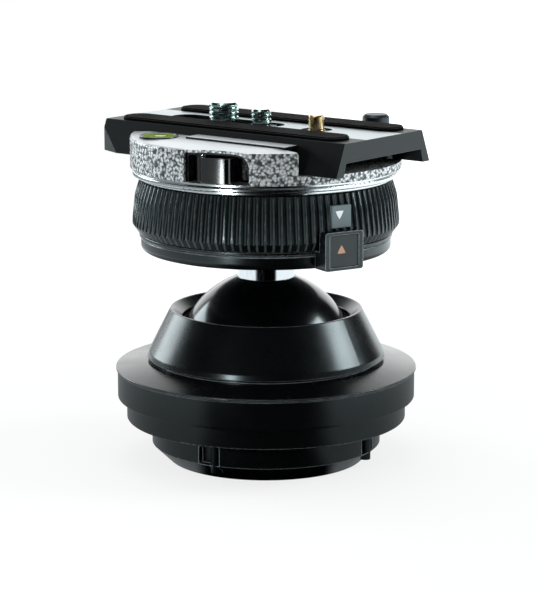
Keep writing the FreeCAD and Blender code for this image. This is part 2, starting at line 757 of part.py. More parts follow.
def flange_body():
    """Upper disc: overhanging flange, seat for the cone and the hub that the cone grips."""
    bevel_z = LIP_Z - LIP_BAND
    seat_z = CONE_FOOT_Z - CONE_SEAT_H
    body = turned([(0, TIER_TOP_Z), (FLANGE_R, TIER_TOP_Z, EDGE_ROUND), (FLANGE_R, bevel_z),
                   (LIP_R, bevel_z + LIP_R - FLANGE_R), (LIP_R, LIP_Z, EDGE_ROUND / 2),
                   (FLANGE_SLOPE_R, seat_z), (CONE_SEAT_R, seat_z), (CONE_SEAT_R, CONE_FOOT_Z),
                   (HUB_R, CONE_FOOT_Z), (HUB_R, HUB_TOP_Z), (0, HUB_TOP_Z)])
    body = body.cut(carrier_bore()).cut(ball_well())
    body = body.cut(rod_z(LINER_R + FIT, LINER_FOOT_Z, HUB_TOP_Z + OVERRUN))
    reach_z = SPIGOT_H + GAP + FLANGE_SCREW_HEAD_T + FLANGE_SCREW_L
    hole = rod_z(FLANGE_SCREW_R + FIT, TIER_TOP_Z - OVERRUN, min(reach_z, LIP_Z - LIP_BAND) + FIT,
                 FLANGE_SCREW_RING_R)
    keep("flange_body", cut_all(body, around(hole, FLANGE_SCREWS, FLANGE_SCREW_BEARING)))


def flange_screws():
    head_z = SPIGOT_H + GAP
    reach = min(FLANGE_SCREW_L, LIP_Z - LIP_BAND - head_z - FLANGE_SCREW_HEAD_T)
    screw = cap_screw(FLANGE_SCREW_R, FLANGE_SCREW_HEAD_R, FLANGE_SCREW_HEAD_T, reach)
    screw = moved(screw, FLANGE_SCREW_RING_R, 0, head_z)
    keep("flange_screws", *around(screw, FLANGE_SCREWS, FLANGE_SCREW_BEARING))


def cone_housing():
    """Conical cap that holds the ball down, with a sharp rim and a countersunk mouth."""
    rim_r = CONE_TOP_R - RIM_W
    cone = turned([(0, CONE_FOOT_Z), (CONE_FOOT_R, CONE_FOOT_Z, EDGE_ROUND / 2),
                   (CONE_FOOT_R - CONE_FOOT_IN, CONE_FOOT_Z + CONE_FOOT_H, EDGE_ROUND * 2),
                   (CONE_TOP_R, CONE_TOP_Z, RIM_W / 4), (rim_r, CONE_TOP_Z, RIM_W / 4),
                   (RIM_SINK_R + FIT, CONE_TOP_Z - RIM_SINK_H), (0, CONE_TOP_Z - RIM_SINK_H)])
    cone = cone.cut(rod_z(HUB_R + FIT, CONE_FOOT_Z - OVERRUN, HUB_TOP_Z + SLIT))
    cone = cone.cut(liner_body(FIT)).cut(rod_z(RIM_SINK_R + FIT, LINER_TOP_Z, CONE_TOP_Z))
    keep("cone_housing", cone)


def ball_liners():
    """Sliding ring above the ball's middle, and the wiper that closes the mouth."""
    keep("upper_liner", liner_body(0).cut(ball_of(BALL_R + LINER_PLAY)))
    wiper = rod_z(RIM_SINK_R, LINER_TOP_Z, LINER_TOP_Z + WIPER_T)
    lead = Part.makeCone(RIM_SINK_R, RIM_SINK_R - WIPER_T, WIPER_T, Vector(0, 0, LINER_TOP_Z))
    wiper = wiper.common(lead.fuse(rod_z(RIM_SINK_R, LINER_TOP_Z, LINER_TOP_Z + WIPER_T / 2)))
    keep("rim_wiper", wiper.cut(ball_of(BALL_R + WIPER_PLAY)))


def lower_seat_stack():
    """Seat under the ball, the cup that carries it, two disc springs and the preload ring."""
    seat = rod_z(SEAT_R, SEAT_FOOT_Z, SEAT_TOP_Z).cut(ball_of(BALL_R + SEAT_PLAY))
    keep("lower_seat", seat.cut(rod_z(CARRIER_MOUTH_R, SEAT_FOOT_Z - OVERRUN, SEAT_FOOT_Z + FIT)))
    carrier = rod_z(CARRIER_R, SPRING_TOP_Z, SEAT_TOP_Z)
    carrier = carrier.cut(rod_z(SEAT_R + FIT, SEAT_FOOT_Z, SEAT_TOP_Z + OVERRUN))
    keep("seat_carrier", carrier.cut(rod_z(CARRIER_MOUTH_R, SPRING_TOP_Z - OVERRUN, SEAT_TOP_Z)))
    mid_z = PRELOAD_TOP_Z + DISC_SPRING_T + DISC_SPRING_RISE
    lower = turned([(DISC_SPRING_RO, PRELOAD_TOP_Z), (DISC_SPRING_RO, PRELOAD_TOP_Z + DISC_SPRING_T),
                    (DISC_SPRING_RI, mid_z), (DISC_SPRING_RI, mid_z - DISC_SPRING_T)])
    upper = turned([(DISC_SPRING_RO, SPRING_TOP_Z), (DISC_SPRING_RO, SPRING_TOP_Z - DISC_SPRING_T),
                    (DISC_SPRING_RI, mid_z), (DISC_SPRING_RI, mid_z + DISC_SPRING_T)])
    keep("disc_springs", lower, upper)
    ring = ring_z(PRELOAD_RING_RI, CARRIER_R, FLOOR_T, PRELOAD_TOP_Z)
    slot = block(0, PRELOAD_RING_RI + SPANNER_SLOT_DEPTH, -SPANNER_SLOT_W / 2, SPANNER_SLOT_W / 2,
                 FLOOR_T - OVERRUN, PRELOAD_TOP_Z + OVERRUN)
    keep("preload_ring", cut_all(ring, around(slot, SPANNER_SLOTS, NOTCH_BEARING + 45)))


def base_cover():
    cover = turned([(0, 0), (COVER_R, 0, EDGE_ROUND), (COVER_R, COVER_T), (0, COVER_T)])
    hole = rod_z(COVER_SCREW_R + FIT, 0, COVER_T + OVERRUN, COVER_SCREW_RING_R)
    well = rod_z(COVER_SCREW_HEAD_R + FIT, -OVERRUN, COVER_SCREW_HEAD_T, COVER_SCREW_RING_R)
    keep("base_cover", cut_all(cover, around(hole.fuse(well), COVER_SCREWS, NOTCH_BEARING)))
    head_t = COVER_SCREW_HEAD_T - SLIT
    shank = COVER_T - COVER_SCREW_HEAD_T + COVER_SCREW_BITE
    screw = cap_screw(COVER_SCREW_R, COVER_SCREW_HEAD_R, head_t, shank)
    screw = moved(screw, COVER_SCREW_RING_R, 0, SLIT)
    keep("cover_screws", *around(screw, COVER_SCREWS, NOTCH_BEARING))


# Ball, neck and brake

def ball_shell():
    """Ball, open below for the brake cap and bored from above for the neck."""
    low_z = BALL_Z - BALL_CUT
    shell = ball_of(BALL_R).cut(rod_z(BALL_R + OVERRUN, BALL_Z - BALL_R - OVERRUN, low_z))
    shell = shell.cut(rod_z(STEM_R + FIT, BALL_Z - BALL_CUT, BALL_Z + BALL_R + OVERRUN))
    shell = shell.cut(rod_z(NECK_R + FIT, BALL_Z + NECK_SEAT, BALL_Z + BALL_R + OVERRUN))
    shell = shell.cut(rod_z(BOSS_WELL_R, low_z - OVERRUN, BALL_Z - BOSS_WELL_TOP))
    groove = rod_z(CLIP_RO + SLIT, BALL_Z - CLIP_TOP - CLIP_T - SLIT, BALL_Z - CLIP_TOP)
    keep("ball", shell.cut(groove))


def cap_retainer():
    """Snap ring in the ball's bore, and the dished spring that lifts the brake cap."""
    ring = ring_z(CLIP_RI, CLIP_RO, BALL_Z - CLIP_TOP - CLIP_T, BALL_Z - CLIP_TOP)
    gap_w = CLIP_RO * math.sin(math.radians(CLIP_GAP_DEG / 2))
    gap = block(0, CLIP_RO + OVERRUN, -gap_w, gap_w, BALL_Z - BALL_CUT - OVERRUN, BALL_Z)
    keep("cap_snap_ring", ring.cut(gap))
    low_z = BALL_Z - CLIP_TOP
    high_z = BALL_Z - BOSS_TOP - BOSS_COLLAR_T
    inner, outer = BOSS_R + RUN, BOSS_WELL_R - RUN
    mid_z = (low_z + high_z) / 2
    lower = turned([(outer, low_z), (outer, low_z + CAP_SPRING_T), (inner, mid_z),
                    (inner, mid_z - CAP_SPRING_T)])
    upper = turned([(outer, high_z), (outer, high_z - CAP_SPRING_T), (inner, mid_z),
                    (inner, mid_z + CAP_SPRING_T)])
    keep("cap_springs", lower, upper)


def brake_cap():
    """Lower cap of the ball, pushed down against the seat to lock it."""
    cap = ball_of(BALL_R - CAP_PLAY).common(
        rod_z(BALL_R + OVERRUN, BALL_Z - CAP_FOOT, BALL_Z - CAP_TOP))
    boss_top_z = BALL_Z - BOSS_TOP
    cap = cap.fuse(rod_z(BOSS_R, BALL_Z - CAP_FOOT, boss_top_z))
    cap = cap.fuse(rod_z(BOSS_COLLAR_R, boss_top_z - BOSS_COLLAR_T, boss_top_z)).removeSplitter()
    cap = cap.cut(rod_z(THRUST_CUP_R + RUN, BALL_Z - THRUST_CUP_FOOT - SLIT, boss_top_z + OVERRUN))
    keep("brake_cap", cap)


def thrust_parts():
    """Hard ball at the ball's centre and the cup it bears on, so that thrust passes at any tilt."""
    keep("thrust_ball", ball_of(THRUST_BALL_R))
    cup = rod_z(THRUST_CUP_R, BALL_Z - THRUST_CUP_FOOT, BALL_Z - THRUST_CUP_TOP)
    keep("thrust_cup", cup.cut(ball_of(THRUST_BALL_R + RUN)))


def cross_pin_slot(outer_r):
    """Slot through the neck for the cross pin and its travel."""
    width = PIN_R + RUN
    return block(-outer_r - OVERRUN, outer_r + OVERRUN, -width, width,
                 PIN_Z - PIN_R - BRAKE_TRAVEL - PIN_ROOM, PIN_Z + PIN_R + PIN_ROOM)


def neck_stem():
    top_z = CLAMP_FLOOR_Z - STEM_TOP_DROP
    stem = rod_z(STEM_R, BALL_Z + STEM_FOOT, top_z)
    stem = stem.fuse(rod_z(NECK_R, BALL_Z + NECK_SEAT, NECK_TOP_Z)).removeSplitter()
    stem = stem.cut(rod_z(STEM_BORE_R, BALL_Z, top_z + OVERRUN))
    keep("neck_stem", stem.cut(cross_pin_slot(STEM_R)))
    sleeve = ring_z(STEM_R + FIT, SLEEVE_R, HOUSING_FLOOR_Z, CLAMP_Z)
    keep("centre_sleeve", sleeve.cut(cross_pin_slot(SLEEVE_R)))


def push_rod():
    rod = rod_z(ROD_R, BALL_Z + ROD_FOOT, PIN_Z + PIN_R + ROD_R)
    rod = rod.cut(ball_of(ROD_DIMPLE_R)).cut(rod_x(PIN_R + FIT, -ROD_R - OVERRUN, ROD_R + OVERRUN, 0, PIN_Z))
    keep("push_rod", rod)
    keep("cross_pin", rod_x(PIN_R, -PIN_HALF_L, PIN_HALF_L, 0, PIN_Z))


# Housing and locking collar

def collar_housing():
    """Shallow bowl under the collar, with a rounded foot, a small lip and an inner skirt."""
    groove_z = HOUSING_TOP_Z - HOUSING_LIP_H - HOUSING_GROOVE_H
    bowl = turned([(0, NECK_TOP_Z), (HOUSING_R, NECK_TOP_Z, HOUSING_CORNER_R), (HOUSING_R, groove_z),
                   (HOUSING_GROOVE_R, groove_z), (HOUSING_GROOVE_R, groove_z + HOUSING_GROOVE_H),
                   (HOUSING_LIP_R, groove_z + HOUSING_GROOVE_H, EDGE_ROUND / 2),
                   (HOUSING_LIP_R, HOUSING_TOP_Z, EDGE_ROUND / 2),
                   (HOUSING_SKIRT_RO, HOUSING_TOP_Z), (HOUSING_SKIRT_RO, HOUSING_TOP_Z + HOUSING_SKIRT_H),
                   (0, HOUSING_TOP_Z + HOUSING_SKIRT_H)])
    bowl = bowl.cut(rod_z(HOUSING_SKIRT_RI, HOUSING_FLOOR_Z, HOUSING_TOP_Z + HOUSING_SKIRT_H + OVERRUN))
    bowl = bowl.cut(rod_z(STEM_R + FIT, NECK_TOP_Z - OVERRUN, HOUSING_FLOOR_Z + OVERRUN))
    stem_hole = rod_x(BUTTON_STEM_R + RUN, HOUSING_SKIRT_RI - OVERRUN, HOUSING_R + OVERRUN, 0,
                      NECK_TOP_Z + BUTTON_STEM_RISE)
    holes = [stem_hole] + block_screw_rods(BLOCK_SCREW_R + FIT, HOUSING_SKIRT_RI - OVERRUN,
                                           HOUSING_R + OVERRUN)
    keep("collar_housing", cut_all(bowl, [at_bearing(hole, BLOCK_BEARING) for hole in holes]))
    keep("slide_ring", ring_z(HOUSING_SKIRT_RO + FIT, SLIDE_RING_RO, HOUSING_TOP_Z,
                              HOUSING_TOP_Z + HOUSING_SKIRT_H))


def rib_cutters():
    """Slanted round cutters, one for each groove between two ribs."""
    out = RIB_PITCH * RIB_CUT_OUT_share
    foot = Vector(COLLAR_R + out, 0, COLLAR_FOOT_Z + COLLAR_BELT_H)
    head = Vector(COLLAR_TOP_R + out, 0, COLLAR_TOP_Z)
    run = (head - foot).normalize()
    length = COLLAR_H + 2 * OVERRUN
    start = foot - run * (COLLAR_BELT_H + OVERRUN)
    cutter = Part.makeCylinder(RIB_PITCH * RIB_CUT_share, length, start, run)
    return around(cutter, RIB_COUNT, INDEX_BEARING)


def index_plate(grow):
    """Flat marker plate let into the ribs, with its outer face square to its bearing."""
    low_z = COLLAR_TOP_Z - INDEX_DROP - INDEX_H / 2
    half = INDEX_W / 2 + grow
    out = COLLAR_R + INDEX_PROUD
    return block(out - INDEX_T - grow, out + (OVERRUN if grow else 0), -half, half,
                 low_z - grow, low_z + INDEX_H + grow)


def locking_collar():
    """Ribbed ring with an inner web, turned by hand to lock the ball."""
    belt_z = COLLAR_FOOT_Z + COLLAR_BELT_H
    collar = turned([(COLLAR_BORE_R, COLLAR_FOOT_Z), (COLLAR_FOOT_R, COLLAR_FOOT_Z, EDGE_ROUND / 2),
                     (COLLAR_R, COLLAR_FOOT_Z + COLLAR_BEVEL_H, EDGE_ROUND), (COLLAR_R, belt_z, COLLAR_H / 2),
                     (COLLAR_SHOULDER_R, COLLAR_TOP_Z - COLLAR_SHOULDER_DROP, COLLAR_H / 2),
                     (COLLAR_TOP_R, COLLAR_TOP_Z, EDGE_ROUND), (COLLAR_BORE_R, COLLAR_TOP_Z),
                     (COLLAR_BORE_R, WEB_TOP_Z), (SLEEVE_R + WEB_BORE_PLAY, WEB_TOP_Z),
                     (SLEEVE_R + WEB_BORE_PLAY, WEB_FOOT_Z), (COLLAR_BORE_R, WEB_FOOT_Z)])
    collar = cut_all(collar, rib_cutters())
    head_well = rod_z(CAM_SCREW_HEAD_R + FIT, WEB_TOP_Z - CAM_SCREW_SINK - CAM_SCREW_HEAD_T,
                      WEB_TOP_Z + OVERRUN, CAM_SCREW_RING_R)
    hole = rod_z(CAM_SCREW_R + FIT, WEB_FOOT_Z - OVERRUN, WEB_TOP_Z, CAM_SCREW_RING_R)
    collar = cut_all(collar, around(head_well.fuse(hole), CAM_SCREWS, 0))
    collar = collar.cut(at_bearing(index_plate(FIT), INDEX_BEARING))
    keep("locking_collar", collar)
    keep("collar_index", at_bearing(index_plate(0), INDEX_BEARING))


def cam_ring():
    """Ring under the web with two slanted faces that press the cross pin down as it turns."""
    ring = ring_z(SLEEVE_R + RUN, CAM_R, CAM_FOOT_Z, WEB_FOOT_Z)
    wide = CAM_R + OVERRUN
    for side in (0, 180):
        wedge = block(0, 2 * wide, -2 * wide, 2 * wide, -wide, 0)
        wedge.rotate(Vector(0, 0, 0), Vector(1, 0, 0), -math.degrees(math.atan(CAM_SLOPE)))
        wedge.translate(Vector(0, 0, CAM_FACE_Z - BRAKE_TRAVEL / 2))
        wedge.rotate(Vector(0, 0, 0), Vector(0, 0, 1), side + CAM_LIFT_SPAN_DEG / 2)
        ring = ring.cut(wedge)
    hole = rod_z(CAM_SCREW_R + FIT, WEB_FOOT_Z - CAM_SCREW_BITE - SLIT, WEB_FOOT_Z + OVERRUN,
                 CAM_SCREW_RING_R)
    keep("cam_ring", cut_all(ring, around(hole, CAM_SCREWS, 0)))
    shank = WEB_T - CAM_SCREW_SINK - CAM_SCREW_HEAD_T + CAM_SCREW_BITE
    screw = flipped(cap_screw(CAM_SCREW_R, CAM_SCREW_HEAD_R, CAM_SCREW_HEAD_T, shank))
    screw = moved(screw, CAM_SCREW_RING_R, 0, WEB_TOP_Z - CAM_SCREW_SINK)
    keep("cam_screws", *around(screw, CAM_SCREWS, 0))
    keep("thrust_washer", ring_z(THRUST_WASHER_RI, THRUST_WASHER_RO, WEB_TOP_Z + SLIT, CLAMP_Z))


# Push button, drawn on +X and turned to its bearing

def block_screw_rods(radius, low, high):
    z = NECK_TOP_Z + BLOCK_SCREW_RISE
    return [rod_x(radius, low, high, side * BLOCK_SCREW_SIDE, z) for side in (-1, 1)]


def button_frame():
    """Block that frames the push button, saddled on the housing under the collar."""
    low_z = NECK_TOP_Z + BLOCK_LIFT
    high_z = low_z + BLOCK_H
    corner = BLOCK_CORNER_R
    frame = prism_x([(-BLOCK_W / 2, low_z, corner), (BLOCK_W / 2, low_z, corner),
                     (BLOCK_W / 2, high_z, corner), (-BLOCK_W / 2, high_z, corner)],
                    HOUSING_SKIRT_RO, BLOCK_FACE_R)
    frame = frame.cut(rod_z(HOUSING_LIP_R + FIT, low_z - OVERRUN, high_z + OVERRUN))
    frame = frame.cut(rod_z(BLOCK_BACK_R, HOUSING_TOP_Z + GAP / 2, high_z + OVERRUN))
    mid_z = low_z + BLOCK_H / 2
    frame = frame.cut(button_plate(BUTTON_PLAY, BUTTON_FLOOR_X, BLOCK_FACE_R + OVERRUN, mid_z))
    stem_z = NECK_TOP_Z + BUTTON_STEM_RISE
    well_x = HOUSING_LIP_R + FIT + BUTTON_WELL_ROOT
    frame = frame.cut(rod_x(BUTTON_STEM_R + BUTTON_WELL_PLAY, well_x, BLOCK_FACE_R, 0, stem_z))
    frame = frame.cut(rod_x(BUTTON_STEM_R + RUN, HOUSING_SKIRT_RO, BLOCK_FACE_R, 0, stem_z))
    low_x = HOUSING_SKIRT_RO
    frame = cut_all(frame, block_screw_rods(BLOCK_SCREW_R + FIT, low_x, HOUSING_LIP_R + BLOCK_SCREW_BITE))
    keep("button_block", at_bearing(frame.Solids[0], BLOCK_BEARING))
    button = button_plate(0, BUTTON_BACK_X, BUTTON_BACK_X + BUTTON_T, mid_z)
    stem_end = HOUSING_SKIRT_RI - GAP - BUTTON_CLIP_T
    button = button.fuse(rod_x(BUTTON_STEM_R, stem_end, BUTTON_BACK_X, 0, stem_z)).removeSplitter()
    keep("push_button", at_bearing(button, BLOCK_BEARING))
    clip_r = BUTTON_STEM_R + BUTTON_CLIP_W
    clip = rod_x(clip_r, stem_end, stem_end + BUTTON_CLIP_T, 0, stem_z)
    clip = clip.cut(rod_x(BUTTON_STEM_R, stem_end - OVERRUN, stem_end + OVERRUN, 0, stem_z))
    cheek_z = HOUSING_FLOOR_Z + SLIT
    clip = clip.cut(block(stem_end - OVERRUN, stem_end + OVERRUN, -clip_r, clip_r, NECK_TOP_Z, cheek_z))
    keep("button_clip", at_bearing(clip, BLOCK_BEARING))
    spring_r = BUTTON_STEM_R + BUTTON_SPRING_PLAY
    spring = coil(spring_r, BUTTON_WIRE_R, BUTTON_BACK_X - well_x, BUTTON_SPRING_TURNS)
    keep("button_spring", at_bearing(to_x(spring, well_x, 0, stem_z), BLOCK_BEARING))
    inner = math.sqrt(HOUSING_SKIRT_RI ** 2 - (BLOCK_SCREW_SIDE + BLOCK_SCREW_HEAD_R) ** 2)
    shank = HOUSING_LIP_R + BLOCK_SCREW_BITE - SLIT - inner
    screw = cap_screw(BLOCK_SCREW_R, BLOCK_SCREW_HEAD_R, BLOCK_SCREW_HEAD_T, shank)
    head_x = inner - BLOCK_SCREW_HEAD_T
    screw_z = NECK_TOP_Z + BLOCK_SCREW_RISE
    screws = [to_x(screw, head_x, side * BLOCK_SCREW_SIDE, screw_z) for side in (-1, 1)]
    keep("block_screws", *[at_bearing(one, BLOCK_BEARING) for one in screws])


def button_plate(grow, low_x, high_x, mid_z):
    half_w = BUTTON_W / 2 + grow
    half_h = BUTTON_H / 2 + grow
    corner = BUTTON_CORNER_R
    return prism_x([(-half_w, mid_z - half_h, corner), (half_w, mid_z - half_h, corner),
                    (half_w, mid_z + half_h, corner), (-half_w, mid_z + half_h, corner)], low_x, high_x)


# Clamp body and what it carries

def flank_y(z):
    """Half width of the plate's slanted side at a height."""
    share = (z - PLATE_Z) / PLATE_H
    return PLATE_FOOT_HALF_W + (PLATE_TOP_HALF_W - PLATE_FOOT_HALF_W) * share


def recess_outline(grow, inner_r, outer_r):
    """Arched outline of the lever recess, grown to the sides and upwards, between two radii."""
    low_z = CLAMP_Z + RECESS_FOOT_H
    side_z = CLAMP_Z + RECESS_SIDE_H + grow
    top_z = CLAMP_Z + RECESS_TOP_H + grow
    half = RECESS_HALF_W + grow
    shape = prism_x([(-half, low_z), (half, low_z), (half, side_z, RECESS_CORNER_R),
                     (0, top_z, RECESS_ARCH_R), (-half, side_z, BLOCK_CORNER_R)],
                    inner_r - RECESS_HALF_W, outer_r + OVERRUN)
    shape = shape.cut(rod_z(inner_r, low_z - OVERRUN, top_z + OVERRUN))
    return at_bearing(shape.common(rod_z(outer_r, low_z - OVERRUN, top_z + OVERRUN)), LEVER_BEARING)


def pivot_rod(radius, low, high):
    return at_bearing(rod_z(radius, low, high, LEVER_PIVOT_R, -LEVER_PIVOT_SIDE), LEVER_BEARING)


def catch_slot():
    """Room for the rear catch: button well, arm channel and pin hole."""
    play = CATCH_SLOT_PLAY
    half = CATCH_ARM_W / 2 + play
    arm = block(CATCH_X - half, CATCH_X + half, CATCH_PIN_Y, PLATE_FOOT_HALF_W, CATCH_WELL_Z, CLAMP_FLOOR_Z)
    under_wall = block(CATCH_X - half, CATCH_X + half, PLATE_FOOT_HALF_W, CATCH_BUTTON_Y, CATCH_WELL_Z,
                       CATCH_ARM_Z + CATCH_ARM_T + play)
    pin_end = rod_z(half, CATCH_WELL_Z, CLAMP_FLOOR_Z, CATCH_X, CATCH_PIN_Y)
    well = rod_z(CATCH_BUTTON_R + play, CATCH_WELL_Z, WALL_TOP_Z + OVERRUN, CATCH_X, CATCH_BUTTON_Y)
    return arm.fuse(under_wall).fuse(pin_end).fuse(well)


def catch_cover_outline(grow):
    half = CATCH_ARM_W / 2 + CATCH_COVER_MARGIN + grow
    return [(CATCH_X - half, CATCH_PIN_Y - half, CATCH_PIN_R), (CATCH_X + half, CATCH_PIN_Y - half, CATCH_PIN_R),
            (CATCH_X + half, PLATE_FOOT_HALF_W), (CATCH_X - half, PLATE_FOOT_HALF_W)]


def clamp_body():
    """Round casting with a channel for the plate between a front wall and a rear wall."""
    bead_z = CLAMP_Z + CLAMP_NECK_H
    groove_z = bead_z + BEAD_H
    wall_z = groove_z + BODY_GROOVE_H
    rounding = BEAD_ROUND
    body = turned([(0, CLAMP_Z), (CLAMP_NECK_R, CLAMP_Z, EDGE_ROUND), (CLAMP_NECK_R, bead_z),
                   (BEAD_R, bead_z, rounding), (BEAD_R, groove_z, rounding), (BODY_GROOVE_R, groove_z),
                   (BODY_GROOVE_R, wall_z), (CLAMP_R, wall_z, rounding),
                   (CLAMP_R, WALL_TOP_Z - WALL_EDGE_DROP - WALL_BEVEL_DROP),
                   (CLAMP_R - WALL_BEVEL_W, WALL_TOP_Z - WALL_EDGE_DROP - WALL_BEVEL_W),
                   (WALL_EDGE_R, WALL_TOP_Z - WALL_EDGE_DROP), (WALL_SLOPE_R, WALL_TOP_Z), (0, WALL_TOP_Z)])
    reach = CLAMP_R + OVERRUN
    high_z = WALL_TOP_Z + OVERRUN
    side = PLATE_SIDE_GAP
    floor = flank_y(CLAMP_FLOOR_Z) + side
    top = flank_y(high_z) + side
    body = body.cut(prism_x([(-floor, CLAMP_FLOOR_Z), (floor, CLAMP_FLOOR_Z), (top, high_z),
                             (-top, high_z)], -reach, reach))
    body = body.cut(block(-JAW_LEFT_X - GAP, reach, -WALL_INNER_Y, 0, CLAMP_FLOOR_Z, high_z))
    body = body.fuse(recess_outline(HOOD_BROW, CLAMP_R - HOOD_BROW_T, CLAMP_R + HOOD_PROUD))
    body = body.cut(recess_outline(HOOD_STEP, CLAMP_R - HOOD_STEP_DEPTH, CLAMP_R + OVERRUN))
    body = body.cut(recess_outline(0, RECESS_BACK_R, CLAMP_R + OVERRUN))
    body = body.cut(pivot_rod(PIVOT_R + FIT, CLAMP_Z - OVERRUN, WALL_TOP_Z - PIVOT_ROOF - GAP))
    body = body.cut(rod_z(STEM_R + FIT, CLAMP_Z - OVERRUN, CLAMP_FLOOR_Z + OVERRUN))
    body = body.cut(rod_z(NUT_R + NUT_POCKET_PLAY, NUT_SEAT_Z, CLAMP_FLOOR_Z + OVERRUN))
    stud_z = CLAMP_FLOOR_Z + STUD_Z_RISE
    body = body.cut(rod_y(STUD_R + RUN, -CLAMP_R, -WALL_INNER_Y + OVERRUN, STUD_X, stud_z))
    head_y = stud_head_y()
    body = body.cut(rod_y(STUD_HEAD_R + GAP, -CLAMP_R, head_y + GAP, STUD_X, stud_z))
    for x in (JAW_SPRING_LEFT_X, JAW_SPRING_RIGHT_X):
        body = body.cut(rod_y(JAW_SPRING_WELL_R, -WALL_INNER_Y - JAW_SPRING_WELL, -WALL_INNER_Y + OVERRUN,
                              x, stud_z))
    cup_z = WALL_TOP_Z + LEVEL_PROUD - LEVEL_CUP_H
    body = body.cut(rod_z(LEVEL_CUP_R + FIT, cup_z, high_z, LEVEL_X, LEVEL_Y))
    body = body.cut(catch_slot())
    body = body.cut(prism_z(catch_cover_outline(FIT), CATCH_COVER_Z, CLAMP_FLOOR_Z + OVERRUN))
    keep("clamp_body", body)


def stem_nut():
    """Slotted nut that draws the clamp body, sleeve and housing together on the neck."""
    nut = ring_z(STEM_R + FIT, NUT_R, NUT_SEAT_Z, NUT_SEAT_Z + NUT_H)
    slot = block(STEM_R + SPANNER_SLOT_DEPTH, NUT_R + OVERRUN, -SPANNER_SLOT_W / 2, SPANNER_SLOT_W / 2,
                 NUT_SEAT_Z + NUT_H / 2, NUT_SEAT_Z + NUT_H + OVERRUN)
    keep("stem_nut", cut_all(nut, around(slot, SPANNER_SLOTS, 0)))


def stud_head_y():
    """Y of the inner side of the stud's head, just behind the lever."""
    back = math.sqrt(LEVER_BACK_R ** 2 - (STUD_X + STUD_HEAD_R) ** 2)
    return -back + STUD_HEAD_BACK + STUD_HEAD_T


def clamp_lever():
    """Curved lever that follows the casting's side, with a rounded eye at its pivot."""
    low_z = CLAMP_Z + RECESS_FOOT_H + GAP
    high_z = CLAMP_Z + RECESS_SIDE_H - GAP
    face_r = CLAMP_R - LEVER_SETBACK
    tip = LEVER_TIP_SIDE
    arm = ring_z(LEVER_BACK_R, face_r, low_z, high_z)
    span = prism_z([(0, -LEVER_PIVOT_SIDE), (CLAMP_R, -LEVER_PIVOT_SIDE), (CLAMP_R, tip), (0, tip)],
                   low_z, high_z)
    arm = arm.common(span)
    corner = block(0, CLAMP_R + OVERRUN, tip - LEVER_TIP_ROUND, tip + OVERRUN, low_z, high_z)
    corner_r = math.sqrt(face_r ** 2 - tip ** 2) - LEVER_TIP_ROUND
    keep_low = block(0, corner_r, tip - LEVER_TIP_ROUND, tip, low_z, high_z)
    keep_round = rod_z(LEVER_TIP_ROUND, low_z, high_z, corner_r, tip - LEVER_TIP_ROUND)
    arm = arm.cut(corner.cut(keep_low).cut(keep_round))
    heel = [edge for edge in arm.Edges if edge.BoundBox.YMax < SLIT - LEVER_PIVOT_SIDE
            and edge.BoundBox.XMin > LEVER_PIVOT_R and edge.BoundBox.ZLength > high_z - low_z - SLIT]
    arm = arm.makeFillet(LEVER_HEEL_ROUND, heel)
    eye = rod_z(LEVER_EYE_R, low_z, high_z, LEVER_PIVOT_R, -LEVER_PIVOT_SIDE)
    lever = arm.fuse(eye).removeSplitter()
    lever = lever.cut(rod_z(PIVOT_R + RUN, low_z - OVERRUN, high_z + OVERRUN, LEVER_PIVOT_R,
                            -LEVER_PIVOT_SIDE))
    keep("clamp_lever", at_bearing(lever, LEVER_BEARING))
    keep("lever_pivot", pivot_rod(PIVOT_R, CLAMP_Z + GAP, WALL_TOP_Z - PIVOT_ROOF - GAP - SLIT))


def moving_jaw():
    """Jaw that presses the plate's front flank, its pull stud and its two springs."""
    low_z = CLAMP_FLOOR_Z + SLIT
    lip_z = WALL_TOP_Z + SLIT
    top_z = lip_z + JAW_LIP_T
    lip_y = WALL_INNER_Y + JAW_LIP_COVER
    jaw = prism_x([(-flank_y(low_z) - SLIT, low_z), (-flank_y(top_z) - SLIT, top_z), (-lip_y, top_z, JAW_LIP_T / 2),
                   (-lip_y, lip_z), (-JAW_BACK_Y, lip_z), (-JAW_BACK_Y, low_z)], -JAW_LEFT_X, JAW_RIGHT_X)
    stud_z = CLAMP_FLOOR_Z + STUD_Z_RISE
    jaw = jaw.cut(rod_y(STUD_R + FIT, -JAW_BACK_Y - OVERRUN, -JAW_BACK_Y + STUD_ROOT + FIT, STUD_X, stud_z))
    keep("moving_jaw", jaw)
    head_y = stud_head_y()
    stud = rod_y(STUD_R, head_y - STUD_HEAD_T, -JAW_BACK_Y + STUD_ROOT, STUD_X, stud_z)
    stud = stud.fuse(rod_y(STUD_HEAD_R, head_y - STUD_HEAD_T, head_y, STUD_X, stud_z)).removeSplitter()
    keep("jaw_stud", stud)
    length = WALL_INNER_Y + JAW_SPRING_WELL - JAW_BACK_Y
    spring = coil(JAW_SPRING_R, JAW_WIRE_R, length, JAW_SPRING_TURNS)
    keep("jaw_springs", *[to_minus_y(spring, x, -JAW_BACK_Y, stud_z)
                          for x in (JAW_SPRING_LEFT_X, JAW_SPRING_RIGHT_X)])


def spirit_level():
    low_z = WALL_TOP_Z + LEVEL_PROUD - LEVEL_CUP_H
    high_z = low_z + LEVEL_CUP_H
    cup = rod_z(LEVEL_CUP_R, low_z, high_z, LEVEL_X, LEVEL_Y)
    vial_r = LEVEL_CUP_R - LEVEL_CUP_WALL
    cup = cup.cut(rod_z(vial_r, low_z + LEVEL_FLOOR_T, high_z + OVERRUN, LEVEL_X, LEVEL_Y))
    keep("level_cup", cup)
    keep("level_vial", rod_z(vial_r, low_z + LEVEL_FLOOR_T, high_z - LEVEL_VIAL_SINK, LEVEL_X, LEVEL_Y))


